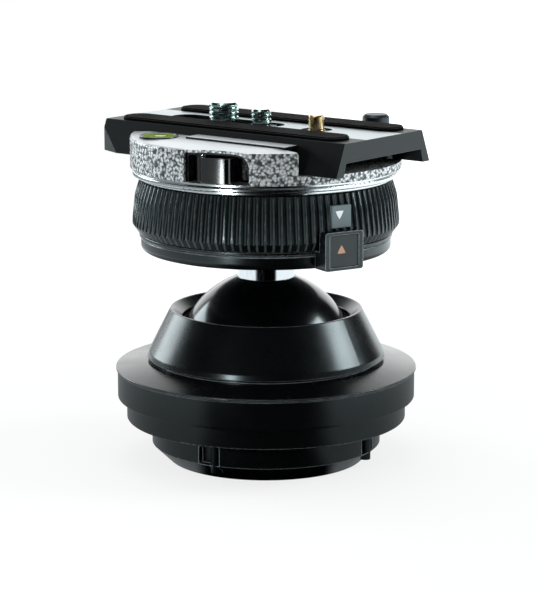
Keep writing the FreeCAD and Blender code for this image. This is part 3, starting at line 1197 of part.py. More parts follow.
def rear_catch():
    """Sprung catch: a button on the rear wall, an arm under the plate and a stop pin."""
    arm_top_z = CATCH_ARM_Z + CATCH_ARM_T
    half = CATCH_ARM_W / 2
    arm = block(CATCH_X - half, CATCH_X + half, CATCH_PIN_Y, CATCH_BUTTON_Y, CATCH_ARM_Z, arm_top_z)
    arm = arm.fuse(rod_z(half, CATCH_ARM_Z, arm_top_z, CATCH_X, CATCH_PIN_Y))
    pin = rod_z(CATCH_PIN_R, CATCH_ARM_Z, CLAMP_FLOOR_Z + CATCH_PIN_PROUD, CATCH_X, CATCH_PIN_Y)
    button = rod_z(CATCH_BUTTON_R, CATCH_ARM_Z, WALL_TOP_Z + CATCH_BUTTON_PROUD, CATCH_X, CATCH_BUTTON_Y)
    button = button.makeChamfer(EDGE_ROUND * 2, [edge for edge in button.Edges
                                                if edge.BoundBox.ZMin > WALL_TOP_Z])
    keep("release_catch", arm.fuse(pin).fuse(button).removeSplitter())
    cover = prism_z(catch_cover_outline(0), CATCH_COVER_Z, CLAMP_FLOOR_Z)
    keep("catch_cover", cover.cut(rod_z(CATCH_PIN_R + RUN, CATCH_COVER_Z - OVERRUN,
                                        CLAMP_FLOOR_Z + OVERRUN, CATCH_X, CATCH_PIN_Y)))
    spring = coil(CATCH_SPRING_R, CATCH_WIRE_R, CATCH_ARM_Z - CATCH_WELL_Z, CATCH_SPRING_TURNS)
    keep("catch_spring", moved(spring, CATCH_X, CATCH_BUTTON_Y, CATCH_WELL_Z))


# Camera plate

def camera_plate():
    """Dovetail plate with a hollow underside, a long screw slot and a tapered front nose."""
    low_x, high_x = PLATE_LEFT_X, PLATE_RIGHT_X
    leg = PLATE_FOOT_HALF_W - PLATE_LEG_W
    leg_top = flank_y(WEB_UNDER_Z) - PLATE_LEG_TOP_W
    plate = prism_x([(-PLATE_FOOT_HALF_W, PLATE_Z), (-leg, PLATE_Z), (-leg_top, WEB_UNDER_Z, PLATE_EDGE),
                     (leg_top, WEB_UNDER_Z, PLATE_EDGE), (leg, PLATE_Z), (PLATE_FOOT_HALF_W, PLATE_Z),
                     (PLATE_TOP_HALF_W, PLATE_TOP_Z, PLATE_EDGE),
                     (-PLATE_TOP_HALF_W, PLATE_TOP_Z, PLATE_EDGE)], low_x, high_x)
    for side in (-1, 1):
        wide = side * (PLATE_FOOT_HALF_W + OVERRUN)
        nose_y = side * (PLATE_FOOT_HALF_W - PLATE_NOSE_W)
        foot_y = side * PLATE_FOOT_HALF_W
        nose = prism_z([(low_x - OVERRUN, nose_y), (low_x, nose_y), (low_x + PLATE_NOSE_L, foot_y),
                        (low_x + PLATE_NOSE_L, wide), (low_x - OVERRUN, wide)],
                       PLATE_Z - OVERRUN, PLATE_TOP_Z + OVERRUN)
        plate = plate.cut(nose)
    under_z = WEB_UNDER_Z - OVERRUN
    over_z = PLATE_TOP_Z + OVERRUN
    slot = block(SLOT_LEFT_X, SLOT_RIGHT_X, -SLOT_HALF_W, SLOT_HALF_W, under_z, over_z)
    for x in (SLOT_LEFT_X, SLOT_RIGHT_X):
        slot = slot.fuse(rod_z(SLOT_HALF_W, under_z, over_z, x))
    plate = plate.cut(slot).cut(rod_z(CARRIER_COLLAR_R + FIT, under_z, over_z, REG_PIN_X))
    plate = cut_all(plate, [strip_bed(side) for side in (-1, 1)])
    plate = cut_all(plate, [rod_z(STOP_SHANK_R + FIT, WEB_UNDER_Z - OVERRUN, WEB_UNDER_Z + STOP_BITE + SLIT,
                                  x, CATCH_PIN_Y) for x in stop_places()])
    keep("quick_plate", plate)


def strip_outline(side, grow, inset):
    """Outline of a grip strip seen from above, with rounded ends."""
    out_y = PLATE_TOP_HALF_W - STRIP_EDGE + grow - inset
    in_y = PLATE_TOP_HALF_W - STRIP_EDGE - STRIP_W - grow + inset
    left = PLATE_LEFT_X + STRIP_END - grow + inset
    right = PLATE_RIGHT_X - STRIP_END + grow - inset
    corner = STRIP_W / 2 - STRIP_EDGE - inset
    near, far = sorted((side * out_y, side * in_y))
    return [(left, near, corner), (right, near, corner), (right, far, corner), (left, far, corner)]


def strip_bed(side):
    return prism_z(strip_outline(side, FIT, 0), PLATE_TOP_Z - STRIP_SINK, PLATE_TOP_Z + OVERRUN)


def grip_strips():
    """Raised rubber strips let into the plate on both sides of the slot."""
    for side, name in ((-1, "grip_strip_front"), (1, "grip_strip_rear")):
        shoulder_z = STRIP_TOP_Z - STRIP_CROWN
        body = prism_z(strip_outline(side, 0, 0), PLATE_TOP_Z - STRIP_SINK, shoulder_z)
        crown = prism_z(strip_outline(side, 0, STRIP_CROWN), shoulder_z, STRIP_TOP_Z)
        keep(name, body.fuse(crown))


def stop_places():
    return [CATCH_X - STOP_SPAN, CATCH_X + STOP_SPAN]


def stop_screws():
    """Screws under the plate that meet the catch pin at each end of its slide."""
    screw = cap_screw(STOP_SHANK_R, STOP_R, STOP_HEAD_H, STOP_BITE)
    keep("stop_screws", *[moved(screw, x, CATCH_PIN_Y, WEB_UNDER_Z - STOP_HEAD_H) for x in stop_places()])


def threaded_rod(radius, low, high, x):
    """Slim captive shank up to the plate's top, then a thread of ring grooves with a bevelled tip."""
    thread_z = PLATE_TOP_Z + THREAD_LIFT
    thread = rod_z(radius, thread_z, high, x)
    tip = [edge for edge in thread.Edges if edge.BoundBox.ZMin > high - SLIT]
    thread = thread.makeChamfer(THREAD_DEPTH * 2, tip)
    shank = rod_z(radius - THREAD_DEPTH, low, thread_z, x).fuse(thread)
    count = int((high - thread_z) / THREAD_PITCH - 1 / 2)
    grooves = []
    for i in range(count):
        z = high - (i + 1) * THREAD_PITCH
        groove = turned([(radius - THREAD_DEPTH, z), (radius + THREAD_DEPTH, z + THREAD_PITCH / 2),
                         (radius + THREAD_DEPTH, z - THREAD_PITCH / 2)])
        grooves.append(moved(groove, x, 0, 0))
    return cut_all(shank, grooves)


def camera_screw(name, x, radius, head_r, rise):
    """Camera screw with a slotted head in the plate's underside channel."""
    head_top = WEB_UNDER_Z - SLIDE_WASHER_T - 2 * SLIT
    low_z = head_top - SCREW_HEAD_H
    screw = threaded_rod(radius, low_z, PLATE_TOP_Z + rise, x)
    screw = screw.fuse(rod_z(head_r, low_z, head_top, x)).removeSplitter()
    slot = block(x - head_r - OVERRUN, x + head_r + OVERRUN, -HEAD_SLOT_W / 2, HEAD_SLOT_W / 2,
                 low_z - OVERRUN, low_z + HEAD_SLOT_DEPTH)
    keep(name, screw.cut(slot))


def screw_sliders():
    """Washers that run under the web and let the screws slide and turn in the slot."""
    low_z = WEB_UNDER_Z - SLIT - SLIDE_WASHER_T
    top_z = WEB_UNDER_Z - SLIT
    big = rod_z(BIG_HEAD_R, low_z, top_z, BIG_SCREW_X)
    keep("large_screw_washer", big.cut(rod_z(BIG_SCREW_R + RUN, low_z - OVERRUN, top_z + OVERRUN, BIG_SCREW_X)))
    small = rod_z(SMALL_HEAD_R, low_z, top_z, SMALL_SCREW_X)
    small = small.fuse(rod_z(CARRIER_COLLAR_R, low_z, PLATE_TOP_Z - PLATE_EDGE, SMALL_SCREW_X))
    small = small.removeSplitter()
    bore = rod_z(SMALL_SCREW_R + RUN, low_z - OVERRUN, PLATE_TOP_Z + OVERRUN, SMALL_SCREW_X)
    keep("small_screw_bush", small.cut(bore))


def registration_pin():
    """Sprung pin that steadies the camera, in its cup under the web."""
    x = REG_PIN_X
    top_z = PLATE_TOP_Z - PLATE_EDGE
    foot_z = WEB_UNDER_Z - SLIT - SLIDE_WASHER_T - SCREW_HEAD_H
    floor_z = foot_z + REG_CUP_FLOOR_T
    lip_z = top_z - REG_LIP_T
    cup = rod_z(REG_CUP_R, foot_z, WEB_UNDER_Z - SLIT, x).fuse(rod_z(CARRIER_COLLAR_R, foot_z, top_z, x))
    cup = cup.removeSplitter().cut(rod_z(REG_PIN_HEAD_R + RUN, floor_z, lip_z, x))
    keep("pin_cup", cup.cut(rod_z(REG_PIN_GUIDE_R + RUN, lip_z - OVERRUN, top_z + OVERRUN, x)))
    head_z = lip_z - SLIT - REG_PIN_HEAD_T
    pin = rod_z(REG_PIN_R, head_z, PLATE_TOP_Z + REG_PIN_TOP, x)
    pin = pin.makeChamfer(EDGE_ROUND, [edge for edge in pin.Edges if edge.BoundBox.ZMin > PLATE_TOP_Z])
    pin = pin.fuse(rod_z(REG_PIN_HEAD_R, head_z, lip_z - SLIT, x))
    keep("registration_pin", pin.fuse(rod_z(REG_PIN_GUIDE_R, head_z, PLATE_TOP_Z, x)).removeSplitter())
    spring = coil(REG_SPRING_R, REG_WIRE_R, lip_z - SLIT - REG_PIN_HEAD_T - floor_z, REG_SPRING_TURNS)
    keep("pin_spring", moved(spring, x, 0, floor_z))


def build():
    base_disc()
    keep("spigot_dowels", *spigot_dowels(0, DOWEL_ROOT))
    flange_body()
    flange_screws()
    cone_housing()
    ball_liners()
    lower_seat_stack()
    base_cover()
    ball_shell()
    cap_retainer()
    brake_cap()
    thrust_parts()
    neck_stem()
    push_rod()
    collar_housing()
    locking_collar()
    cam_ring()
    button_frame()
    clamp_body()
    stem_nut()
    clamp_lever()
    moving_jaw()
    spirit_level()
    rear_catch()
    camera_plate()
    grip_strips()
    stop_screws()
    camera_screw("camera_screw_large", BIG_SCREW_X, BIG_SCREW_R, BIG_HEAD_R, BIG_SCREW_TOP)
    camera_screw("camera_screw_small", SMALL_SCREW_X, SMALL_SCREW_R, SMALL_HEAD_R, SMALL_SCREW_TOP)
    screw_sliders()
    registration_pin()


build()
os.makedirs("parts", exist_ok=True)
for name, shape in parts.items():
    shape.exportStep(os.path.join("parts", name + ".step"))
    print(f"{name}: {len(shape.Solids)} solids, {shape.Volume:.1f} mm3, valid {shape.isValid()}")
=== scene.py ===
# %% [markdown]
# # Dressing a camera ball head in black, silver and brass
#
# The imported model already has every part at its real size. This lesson gives each part the finish
# that its maker would give it, adds the few printed and liquid details that sit on the parts, and
# then lights the whole thing like a small product in a studio.

import math

import bmesh
import bpy
import numpy as np
from mathutils import Matrix, Vector


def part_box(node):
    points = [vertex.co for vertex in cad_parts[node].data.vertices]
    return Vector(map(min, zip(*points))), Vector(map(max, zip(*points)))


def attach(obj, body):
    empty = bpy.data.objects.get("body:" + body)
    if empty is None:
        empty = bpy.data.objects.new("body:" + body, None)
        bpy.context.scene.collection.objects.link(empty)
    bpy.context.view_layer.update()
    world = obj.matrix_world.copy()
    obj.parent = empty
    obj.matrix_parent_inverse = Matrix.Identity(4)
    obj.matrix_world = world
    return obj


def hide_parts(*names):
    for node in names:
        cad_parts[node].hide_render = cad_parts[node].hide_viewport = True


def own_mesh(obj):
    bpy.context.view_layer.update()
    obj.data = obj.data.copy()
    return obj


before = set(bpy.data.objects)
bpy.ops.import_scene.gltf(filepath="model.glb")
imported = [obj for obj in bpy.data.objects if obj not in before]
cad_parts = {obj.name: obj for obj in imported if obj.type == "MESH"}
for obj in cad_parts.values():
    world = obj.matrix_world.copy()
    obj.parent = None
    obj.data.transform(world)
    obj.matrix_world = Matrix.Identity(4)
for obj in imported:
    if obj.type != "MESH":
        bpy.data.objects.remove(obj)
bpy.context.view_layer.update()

# %% [markdown]
# ## Working in millimetres
#
# Blender measures in metres, but a machinist thinks in millimetres. Sizes on the object are
# written in millimetres and multiplied by one constant where they meet Blender. The heights at
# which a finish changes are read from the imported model, so they follow it.

# %% One millimetre, and where things are
MM = 0.001
TURN = 2 * math.pi


def span(node):
    """Lowest and highest corner of a node in millimetres, as two arrays."""
    low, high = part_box(node)
    return np.array(low) / MM, np.array(high) / MM


def bearing_angle(bearing):
    """Angle from the X axis in radians: a bearing is counted in degrees from minus Y."""
    return math.radians(bearing - 90)


clamp_low, clamp_high = span("clamp_body")
CLAMP_FOOT, WALL_TOP, CLAMP_RADIUS = clamp_low[2], clamp_high[2], clamp_high[0]
PLATE_TOP = span("quick_plate")[1][2]
INDEX_BEARING = 71.0
BUTTON_BEARING = 69.7
print("clamp from", round(CLAMP_FOOT, 2), "to", round(WALL_TOP, 2), "mm, plate top at",
      round(PLATE_TOP, 2), "mm")

# %% [markdown]
# ## Colours from hex values
#
# Colours are written as the sRGB hex values that a picture shows. Shaders work in linear light,
# so one function undoes the sRGB curve.

# %% Hex to linear
def hex_colour(code):
    """Linear RGBA of a hex colour: up to 0.04045 it is divided by 12.92, and above that it is the
    value plus 0.055, over 1.055, raised to the power 2.4."""
    parts = np.array([int(code[i:i + 2], 16) for i in (1, 3, 5)]) / 255
    linear = np.where(parts <= 0.04045, parts / 12.92, ((parts + 0.055) / 1.055) ** 2.4)
    return (*linear, 1.0)


print("mid grey #808080 is", round(float(hex_colour("#808080")[0]), 3), "in linear light")

# %% [markdown]
# ## One way to add a node
#
# Every material below is a small tree. One function adds any node, sets it up and wires it, so
# that each recipe reads as a list of steps. Values go in by order or by name. Most masks are a
# Map Range that eases from 0 to 1 while its value goes from a first number to a second.

# %% Node helper
EASE = {"interpolation_type": "SMOOTHSTEP"}
BLEND = {"data_type": "RGBA"}
# A Mix node's sockets share their names, so its factor, two colours and result go by number.
SHARE, UNDER, OVER, MIXED = 0, 6, 7, 2
# Nearly all of a noise lies between these two values.
CLOUD = (0.3, 0.7)


def add(tree, kind, values=(), **settings):
    """Adds a node and returns its outputs. A socket is linked, a hex text becomes a colour, and
    any other value is typed in."""
    made = tree.nodes.new("ShaderNode" + kind)
    for name, value in settings.items():
        setattr(made, name, value)
    for place, value in (values.items() if isinstance(values, dict) else enumerate(values)):
        if isinstance(value, bpy.types.NodeSocket):
            tree.links.new(value, made.inputs[place])
        else:
            value = hex_colour(value) if isinstance(value, str) else value
            made.inputs[place].default_value = value
    return made.outputs


# %% An empty material, and the place on a part
def surface(name, colour, roughness, metallic=0.0, **sockets):
    """A named material with a Principled shader. Returns the material, its tree and the shader."""
    material = bpy.data.materials.new(name)
    material.use_nodes = True
    shader = material.node_tree.nodes["Principled BSDF"]
    plain = {"Base Color": hex_colour(colour), "Roughness": roughness, "Metallic": metallic}
    for socket, value in {**plain, **sockets}.items():
        shader.inputs[socket].default_value = value
    return material, material.node_tree, shader


def feed(shader, outputs):
    """Links each output to the shader's socket of that name."""
    for socket, output in outputs.items():
        shader.id_data.links.new(output, shader.inputs[socket])


def place_mm(tree):
    """Position on the object in millimetres, the same at any view."""
    point = add(tree, "TexCoord")["Object"]
    return add(tree, "VectorMath", (point, (1 / MM,) * 3), operation="MULTIPLY")[0]


def from_axis(tree, x, y):
    """Distance from the vertical axis: the length of a vector with no height."""
    flat = add(tree, "CombineXYZ", (x, y, 0.0))[0]
    return add(tree, "VectorMath", (flat,), operation="LENGTH")["Value"]


# %% [markdown]
# ## Edges that catch light
#
# No machined edge is a knife edge: a deburring tool leaves a round of a tenth or two. The Bevel
# node bends the normal near each edge, and the same bend, compared with the flat normal, marks
# where a pale painted highlight is laid along the edge. Such edges show as thin pale lines, so
# the round is drawn a few tenths wide.

# %% Rounded edges with a painted highlight
UNBENT, BENT = 0.99, 0.86  # cosine between the two normals where the painted highlight starts and is full
# The pale colour below is a painted highlight laid along the edges.
EDGE_HIGHLIGHT_COLOUR = "#A9B4B8"
EDGE_HIGHLIGHT_SHARE = (0.57, 0.95)
EDGE_HIGHLIGHT_PATCH_MM = 2.5
ROUNDED_EDGE_MM = 0.5


def edge(tree, radius_mm):
    """Rounded normal near edges, and how far into the round a point is, from 0 to 1."""
    soft = add(tree, "Bevel", {"Radius": radius_mm * MM}, samples=8)[0]
    flat = add(tree, "NewGeometry")["Normal"]
    agree = add(tree, "VectorMath", (soft, flat), operation="DOT_PRODUCT")["Value"]
    return soft, add(tree, "MapRange", (agree, UNBENT, BENT), **EASE)[0]


def highlighted_edge(tree, place, colour):
    """Colour with a pale painted highlight along the edges, broken up by noise, and the rounded
    normal.
    """
    soft, mask = edge(tree, ROUNDED_EDGE_MM)
    cloud = add(tree, "TexNoise", {"Vector": place, "Scale": 1 / EDGE_HIGHLIGHT_PATCH_MM, "Detail": 3.0})[0]
    patchy = add(tree, "MapRange", (cloud, *CLOUD, *EDGE_HIGHLIGHT_SHARE), **EASE)[0]
    share = add(tree, "Math", (mask, patchy), operation="MULTIPLY")[0]
    edge_lit = add(tree, "Mix", {SHARE: share, UNDER: colour, OVER: EDGE_HIGHLIGHT_COLOUR}, **BLEND)[MIXED]
    return edge_lit, soft


# %% [markdown]
# ## Black anodised aluminium
#
# The base, cone and collar housing are turned from bar, then anodised and dyed black. The dye
# hides the metal under a clear oxide, so the part reflects like a dark ceramic rather than like
# a mirror, with faint rings from the lathe. The tool advances about 0.1 mm a turn, which is too
# fine to show here, so the rings are drawn 0.45 mm apart. The ball is polished after turning, so
# it is smoother, and its rings are drawn 0.7 mm apart.

# %% Black anodised, turned
COOL_OXIDE = {"IOR": 1.62, "Specular Tint": hex_colour("#E8F6F9")}
RING_MM, BALL_RING_MM = 0.45, 0.7
RING_DEPTH_MM = 0.0006
DYE_CLOUD_MM = 9.0


def turned_black(name, colour, roughness, ring_mm=RING_MM):
    """Black oxide with lathe rings: a wave of height plus distance from the axis, so that it
    follows both the walls and the faces. Slow clouds in roughness show the tank's uneven dye."""
    material, tree, shader = surface(name, colour, roughness, **COOL_OXIDE)
    here = place_mm(tree)
    # Painted highlight: a pale colour is painted along the rounded edges.
    edge_lit, soft = highlighted_edge(tree, here, colour)
    x, y, z = add(tree, "SeparateXYZ", (here,))
    along = add(tree, "Math", (from_axis(tree, x, y), z), operation="ADD")[0]
    phase = add(tree, "Math", (along, TURN / ring_mm), operation="MULTIPLY")[0]
    rings = add(tree, "Math", (phase,), operation="SINE")[0]
    cloud = add(tree, "TexNoise", {"Vector": here, "Scale": 1 / DYE_CLOUD_MM, "Detail": 4.0})[0]
    rough = add(tree, "MapRange", (cloud, *CLOUD, roughness - 0.01, roughness + 0.03), **EASE)[0]
    bump = add(tree, "Bump", {"Height": rings, "Distance": RING_DEPTH_MM * MM, "Normal": soft})[0]
    feed(shader, {"Base Color": edge_lit, "Roughness": rough, "Normal": bump})
    return material


ANODISED = turned_black("black_anodised_turned", "#050607", 0.25)
ANODISED_COVER = turned_black("black_anodised_inside", "#0D0F10", 0.42)
BALL_BLACK = turned_black("black_hard_anodised_ball", "#040506", 0.16, BALL_RING_MM)
print("anodised finishes:", ANODISED.name, ANODISED_COVER.name, BALL_BLACK.name)

# %% [markdown]
# ## The ribbed collar
#
# Fingers polish the crests of the ribs while the grooves stay matt, so the crests are smoother;
# their grey colour is a painted highlight. The ribs are evenly spaced round the axis, so a cosine
# of the bearing times their number tells crest from groove. The oxide's own grain is too fine to
# show, so it is drawn at 0.25 mm.

# %% Ribbed black collar
RIBS = 104
CREST = (-0.35, -0.95)  # the cosine where a crest starts and where it is full
# The crest colour is a painted highlight on the ribs.
GROOVE_COLOUR, CREST_HIGHLIGHT_COLOUR = "#040505", "#3C4649"
GROOVE_ROUGH, CREST_ROUGH = 0.4, 0.22
CREST_HIGHLIGHT_PATCH_MM = 1.6
CREST_HIGHLIGHT_CLOUD, CREST_HIGHLIGHT_SHARE = (0.35, 0.65), (0.5, 1.0)
RIB_EDGE_MM = 0.14
OXIDE_GRAIN_MM, OXIDE_GRAIN_DEPTH_MM = 0.25, 0.003


def ribbed_black():
    """Black oxide that is smoother on the crests of the ribs and painted greyer there as a painted
    highlight: crest where the cosine of the number of ribs times the angle from the index is low."""
    material, tree, shader = surface("black_anodised_ribbed", "#0A0C0D", 0.3, **COOL_OXIDE)
    here = place_mm(tree)
    x, y, z = add(tree, "SeparateXYZ", (here,))
    angle = add(tree, "Math", (y, x), operation="ARCTAN2")[0]
    from_index = add(tree, "Math", (angle, -bearing_angle(INDEX_BEARING)), operation="ADD")[0]
    many = add(tree, "Math", (from_index, float(RIBS)), operation="MULTIPLY")[0]
    groove = add(tree, "Math", (many,), operation="COSINE")[0]
    crest = add(tree, "MapRange", (groove, *CREST), **EASE)[0]
    cloud = add(tree, "TexNoise", {"Vector": here, "Scale": 1 / CREST_HIGHLIGHT_PATCH_MM, "Detail": 3.0})[0]
    patchy = add(tree, "MapRange", (cloud, *CREST_HIGHLIGHT_CLOUD, *CREST_HIGHLIGHT_SHARE), **EASE)[0]
    crest_highlight = add(tree, "Math", (crest, patchy), operation="MULTIPLY")[0]
    # Painted highlight: the crests are painted grey.
    shade = add(tree, "Mix", {SHARE: crest_highlight, UNDER: GROOVE_COLOUR, OVER: CREST_HIGHLIGHT_COLOUR},
                **BLEND)[MIXED]
    rough = add(tree, "MapRange", (crest, 0.0, 1.0, GROOVE_ROUGH, CREST_ROUGH))[0]
    grain = add(tree, "TexNoise", {"Vector": here, "Scale": 1 / OXIDE_GRAIN_MM, "Detail": 2.0})[0]
    bump = add(tree, "Bump", {"Height": grain, "Distance": OXIDE_GRAIN_DEPTH_MM * MM,
                              "Normal": edge(tree, RIB_EDGE_MM)[0]})[0]
    feed(shader, {"Base Color": shade, "Roughness": rough, "Normal": bump})
    return material


RIBBED = ribbed_black()
print("ribs:", RIBS, "every", round(360 / RIBS, 2), "degrees")

# %% [markdown]
# ## Hammered silver on the clamp
#
# The clamp and its jaw are castings. Outside they wear a hammered silver enamel: aluminium flakes
# gather in shallow cells about a millimetre across and flash bright or dark as the cell tilts.
# That flash is painted into the colour: a painted glint in the middle of each cell and painted
# shade at its rim. The flakes lie in clear resin, so the enamel is only partly metal. The top land
# and the bead under the wall are machined afterwards, so they are smooth, and the bead is bare
# metal. The lever's recess and the inner faces are painted black as painted shade.

# %% Where the clamp's finish changes, each from where it starts to where it is full
LAND = (WALL_TOP - 3.2, WALL_TOP - 2.8)
BEAD = (CLAMP_FOOT + 3.6, CLAMP_FOOT + 3.4)
ABOVE_BEAD = (CLAMP_FOOT + 3.5, CLAMP_FOOT + 3.6)
INSIDE = (CLAMP_RADIUS - 1.1, CLAMP_RADIUS - 1.4)
FACING_UP = (0.7, 0.95)
UPRIGHT_WALL = (0.1, 0.4)
PIT = (0.2, 0.75)
CELL_MM, CELL_DEPTH_MM, STIR_MM, CAST_EDGE_MM = 0.95, 0.1, 1 / 0.9, 0.25
# The flake colour is a painted glint in the middle of each cell and the pit colour painted shade at
# its rim; the masked colour is painted shade in the lever's recess and on the inner faces.
FLAKE_GLINT_COLOUR, PIT_SHADE_COLOUR, LAND_COLOUR, RECESS_SHADE_COLOUR = "#F2F5F6", "#4C5356", "#DDE1E3", "#060708"
ENAMEL_METAL, BARE_METAL = 0.55, 1.0
ENAMEL_ROUGH, BEAD_ROUGH = 0.38, 0.2
print("hammered cells about", CELL_MM, "mm across, bead up to", round(BEAD[0], 2), "mm")


# %% Hammered silver enamel with machined lands
def hammered_silver():
    """Cells from Voronoi distance, jostled by noise: high in the middle of a cell and low at its
    rim, and painted pale in the middle as a painted glint and dark at the rim as painted shade.
    Masks by height, by facing and by distance from the axis turn it smooth, or black as painted
    shade."""
    material, tree, shader = surface("hammered_silver_enamel", "#B4B8BA", 0.34, 1.0)
    here = place_mm(tree)
    stir = add(tree, "TexNoise", {"Vector": here, "Scale": 1 / STIR_MM, "Detail": 3.0})["Color"]
    stirred = add(tree, "VectorMath", (here, stir), operation="ADD")[0]
    cells = add(tree, "TexVoronoi", {"Vector": stirred, "Scale": 1 / CELL_MM, "Smoothness": 0.5},
                feature="SMOOTH_F1")[0]
    pits = add(tree, "MapRange", (cells, *PIT), **EASE)[0]

    x, y, z = add(tree, "SeparateXYZ", (here,))
    facing = add(tree, "SeparateXYZ", (add(tree, "NewGeometry")["Normal"],))[2]
    upward = add(tree, "MapRange", (facing, *FACING_UP), **EASE)[0]
    high = add(tree, "MapRange", (z, *LAND), **EASE)[0]
    land = add(tree, "Math", (high, upward), operation="MULTIPLY")[0]
    bead = add(tree, "MapRange", (z, *BEAD), **EASE)[0]
    smooth = add(tree, "Math", (land, bead), operation="MAXIMUM")[0]

    steep = add(tree, "Math", (facing,), operation="ABSOLUTE")[0]
    steep = add(tree, "Math", (1.0, steep), operation="SUBTRACT")[0]
    upright = add(tree, "MapRange", (steep, *UPRIGHT_WALL), **EASE)[0]
    inner = add(tree, "MapRange", (from_axis(tree, x, y), *INSIDE), **EASE)[0]
    above = add(tree, "MapRange", (z, *ABOVE_BEAD), **EASE)[0]
    # Painted shade: the lever's recess and the inner faces are painted black.
    painted_shade = add(tree, "Math", (inner, upright), operation="MULTIPLY")[0]
    painted_shade = add(tree, "Math", (painted_shade, above), operation="MULTIPLY")[0]

    shade = add(tree, "Mix", {SHARE: pits, UNDER: FLAKE_GLINT_COLOUR, OVER: PIT_SHADE_COLOUR}, **BLEND)[MIXED]
    shade = add(tree, "Mix", {SHARE: smooth, UNDER: shade, OVER: LAND_COLOUR}, **BLEND)[MIXED]
    shade = add(tree, "Mix", {SHARE: painted_shade, UNDER: shade, OVER: RECESS_SHADE_COLOUR}, **BLEND)[MIXED]
    flake = add(tree, "MapRange", (bead, 0.0, 1.0, ENAMEL_METAL, BARE_METAL))[0]
    unshaded = add(tree, "Math", (1.0, painted_shade), operation="SUBTRACT")[0]
    metal = add(tree, "Math", (flake, unshaded), operation="MULTIPLY")[0]
    rough = add(tree, "MapRange", (bead, 0.0, 1.0, ENAMEL_ROUGH, BEAD_ROUGH))[0]
    raised = add(tree, "Math", (1.0, pits), operation="SUBTRACT")[0]
    rugged = add(tree, "Math", (1.0, smooth), operation="SUBTRACT")[0]
    cast = add(tree, "Math", (raised, rugged), operation="MULTIPLY")[0]
    bump = add(tree, "Bump", {"Height": cast, "Distance": CELL_DEPTH_MM * MM,
                              "Normal": edge(tree, CAST_EDGE_MM)[0]})[0]
    feed(shader, {"Base Color": shade, "Metallic": metal, "Roughness": rough, "Normal": bump})
    return material


HAMMERED = hammered_silver()
print("made", HAMMERED.name)

# %% [markdown]
# ## Bare and plated metals
#
# Brushed alloy has fine scratches along one direction. Polished steel has almost none. Zinc
# plating with a clear passivate has a cool, slightly green cast, and brass is warm. All of them
# are metals, so their colour lives in the reflection. Real scratches are under 0.1 mm apart,
# which is too fine to show, so they are drawn 0.3 to 0.6 mm apart.

# %% Metals
METAL_EDGE_MM = 0.15


def bare_metal(name, colour, roughness, stretch, scratch_mm, depth_mm):
    """A metal with scratches: noise squeezed along two axes and long along the third."""
    material, tree, shader = surface(name, colour, roughness, 1.0)
    long_way = add(tree, "Mapping", {"Vector": place_mm(tree), "Scale": stretch})[0]
    streaks = add(tree, "TexNoise", {"Vector": long_way, "Scale": 1 / scratch_mm, "Detail": 4.0})[0]
    rough = add(tree, "MapRange", (streaks, *CLOUD, roughness - 0.05, roughness + 0.06), **EASE)[0]
    bump = add(tree, "Bump", {"Height": streaks, "Distance": depth_mm * MM,
                              "Normal": edge(tree, METAL_EDGE_MM)[0]})[0]
    feed(shader, {"Roughness": rough, "Normal": bump})
    return material


EVEN = (1.0, 1.0, 1.0)
#                   name                 colour     rough  stretch     scratch and depth in mm
BRIGHT = bare_metal("brushed_aluminium", "#D8DBDC", 0.3, (0.05, 1.0, 1.0), 0.3, 0.004)
STEEL = bare_metal("polished_steel", "#DADDDF", 0.1, (1.0, 1.0, 0.1), 0.5, 0.0006)
ZINC = bare_metal("zinc_plated_screw", "#BFD8D4", 0.16, (1.0, 1.0, 0.3), 0.6, 0.002)
BRASS = bare_metal("brass_pin", "#F7D9A2", 0.26, (1.0, 1.0, 0.2), 0.5, 0.002)
SPRING = bare_metal("drawn_spring_steel", "#8C9194", 0.3, EVEN, 0.4, 0.002)
BLACK_OXIDE = bare_metal("black_oxide_steel", "#34383A", 0.35, EVEN, 0.4, 0.003)
DARK_ALLOY = bare_metal("grey_blasted_alloy", "#4A5053", 0.42, EVEN, 0.35, 0.012)
print("metals:", len([BRIGHT, STEEL, ZINC, BRASS, SPRING, BLACK_OXIDE, DARK_ALLOY]))

# %% [markdown]
# ## The camera plate
#
# The plate is milled, bead blasted and dyed black, and its deck between the grip strips is cut
# again afterwards, so it shows bright metal. One material does both: above the deck height, where
# the surface faces up, it turns from black oxide to cut aluminium. The blasted grain is about
# 0.1 mm, which is too fine to show, so it is drawn at 0.32 mm.

# %% Where the bright deck lies
STRIP_INNER = span("grip_strip_rear")[0][1]
UNDER_STRIP_MM = 0.24
DECK_HALF_WIDTH = STRIP_INNER + UNDER_STRIP_MM
DECK_HEIGHT = (PLATE_TOP - 0.08, PLATE_TOP - 0.04)
DECK_SIDE = (DECK_HALF_WIDTH + 0.1, DECK_HALF_WIDTH)
DECK_FACING = (0.8, 0.95)
# The second colour is a painted highlight laid along the edges.
BLASTED_BLACK, EDGE_HIGHLIGHT_GREY, CUT_ALUMINIUM = "#08090A", "#8C979A", "#E6E8E8"
BLAST_MM, BLAST_DEPTH_MM, BLAST_ROUGH = 0.32, 0.012, (0.42, 0.54)
# The second value is the share of the painted highlight grey on the plate's edges.
PLATE_EDGE_MM, PLATE_EDGE_HIGHLIGHT = 0.3, 0.5
print("deck starts at", round(PLATE_TOP, 2), "mm, half width", round(DECK_HALF_WIDTH, 2), "mm")


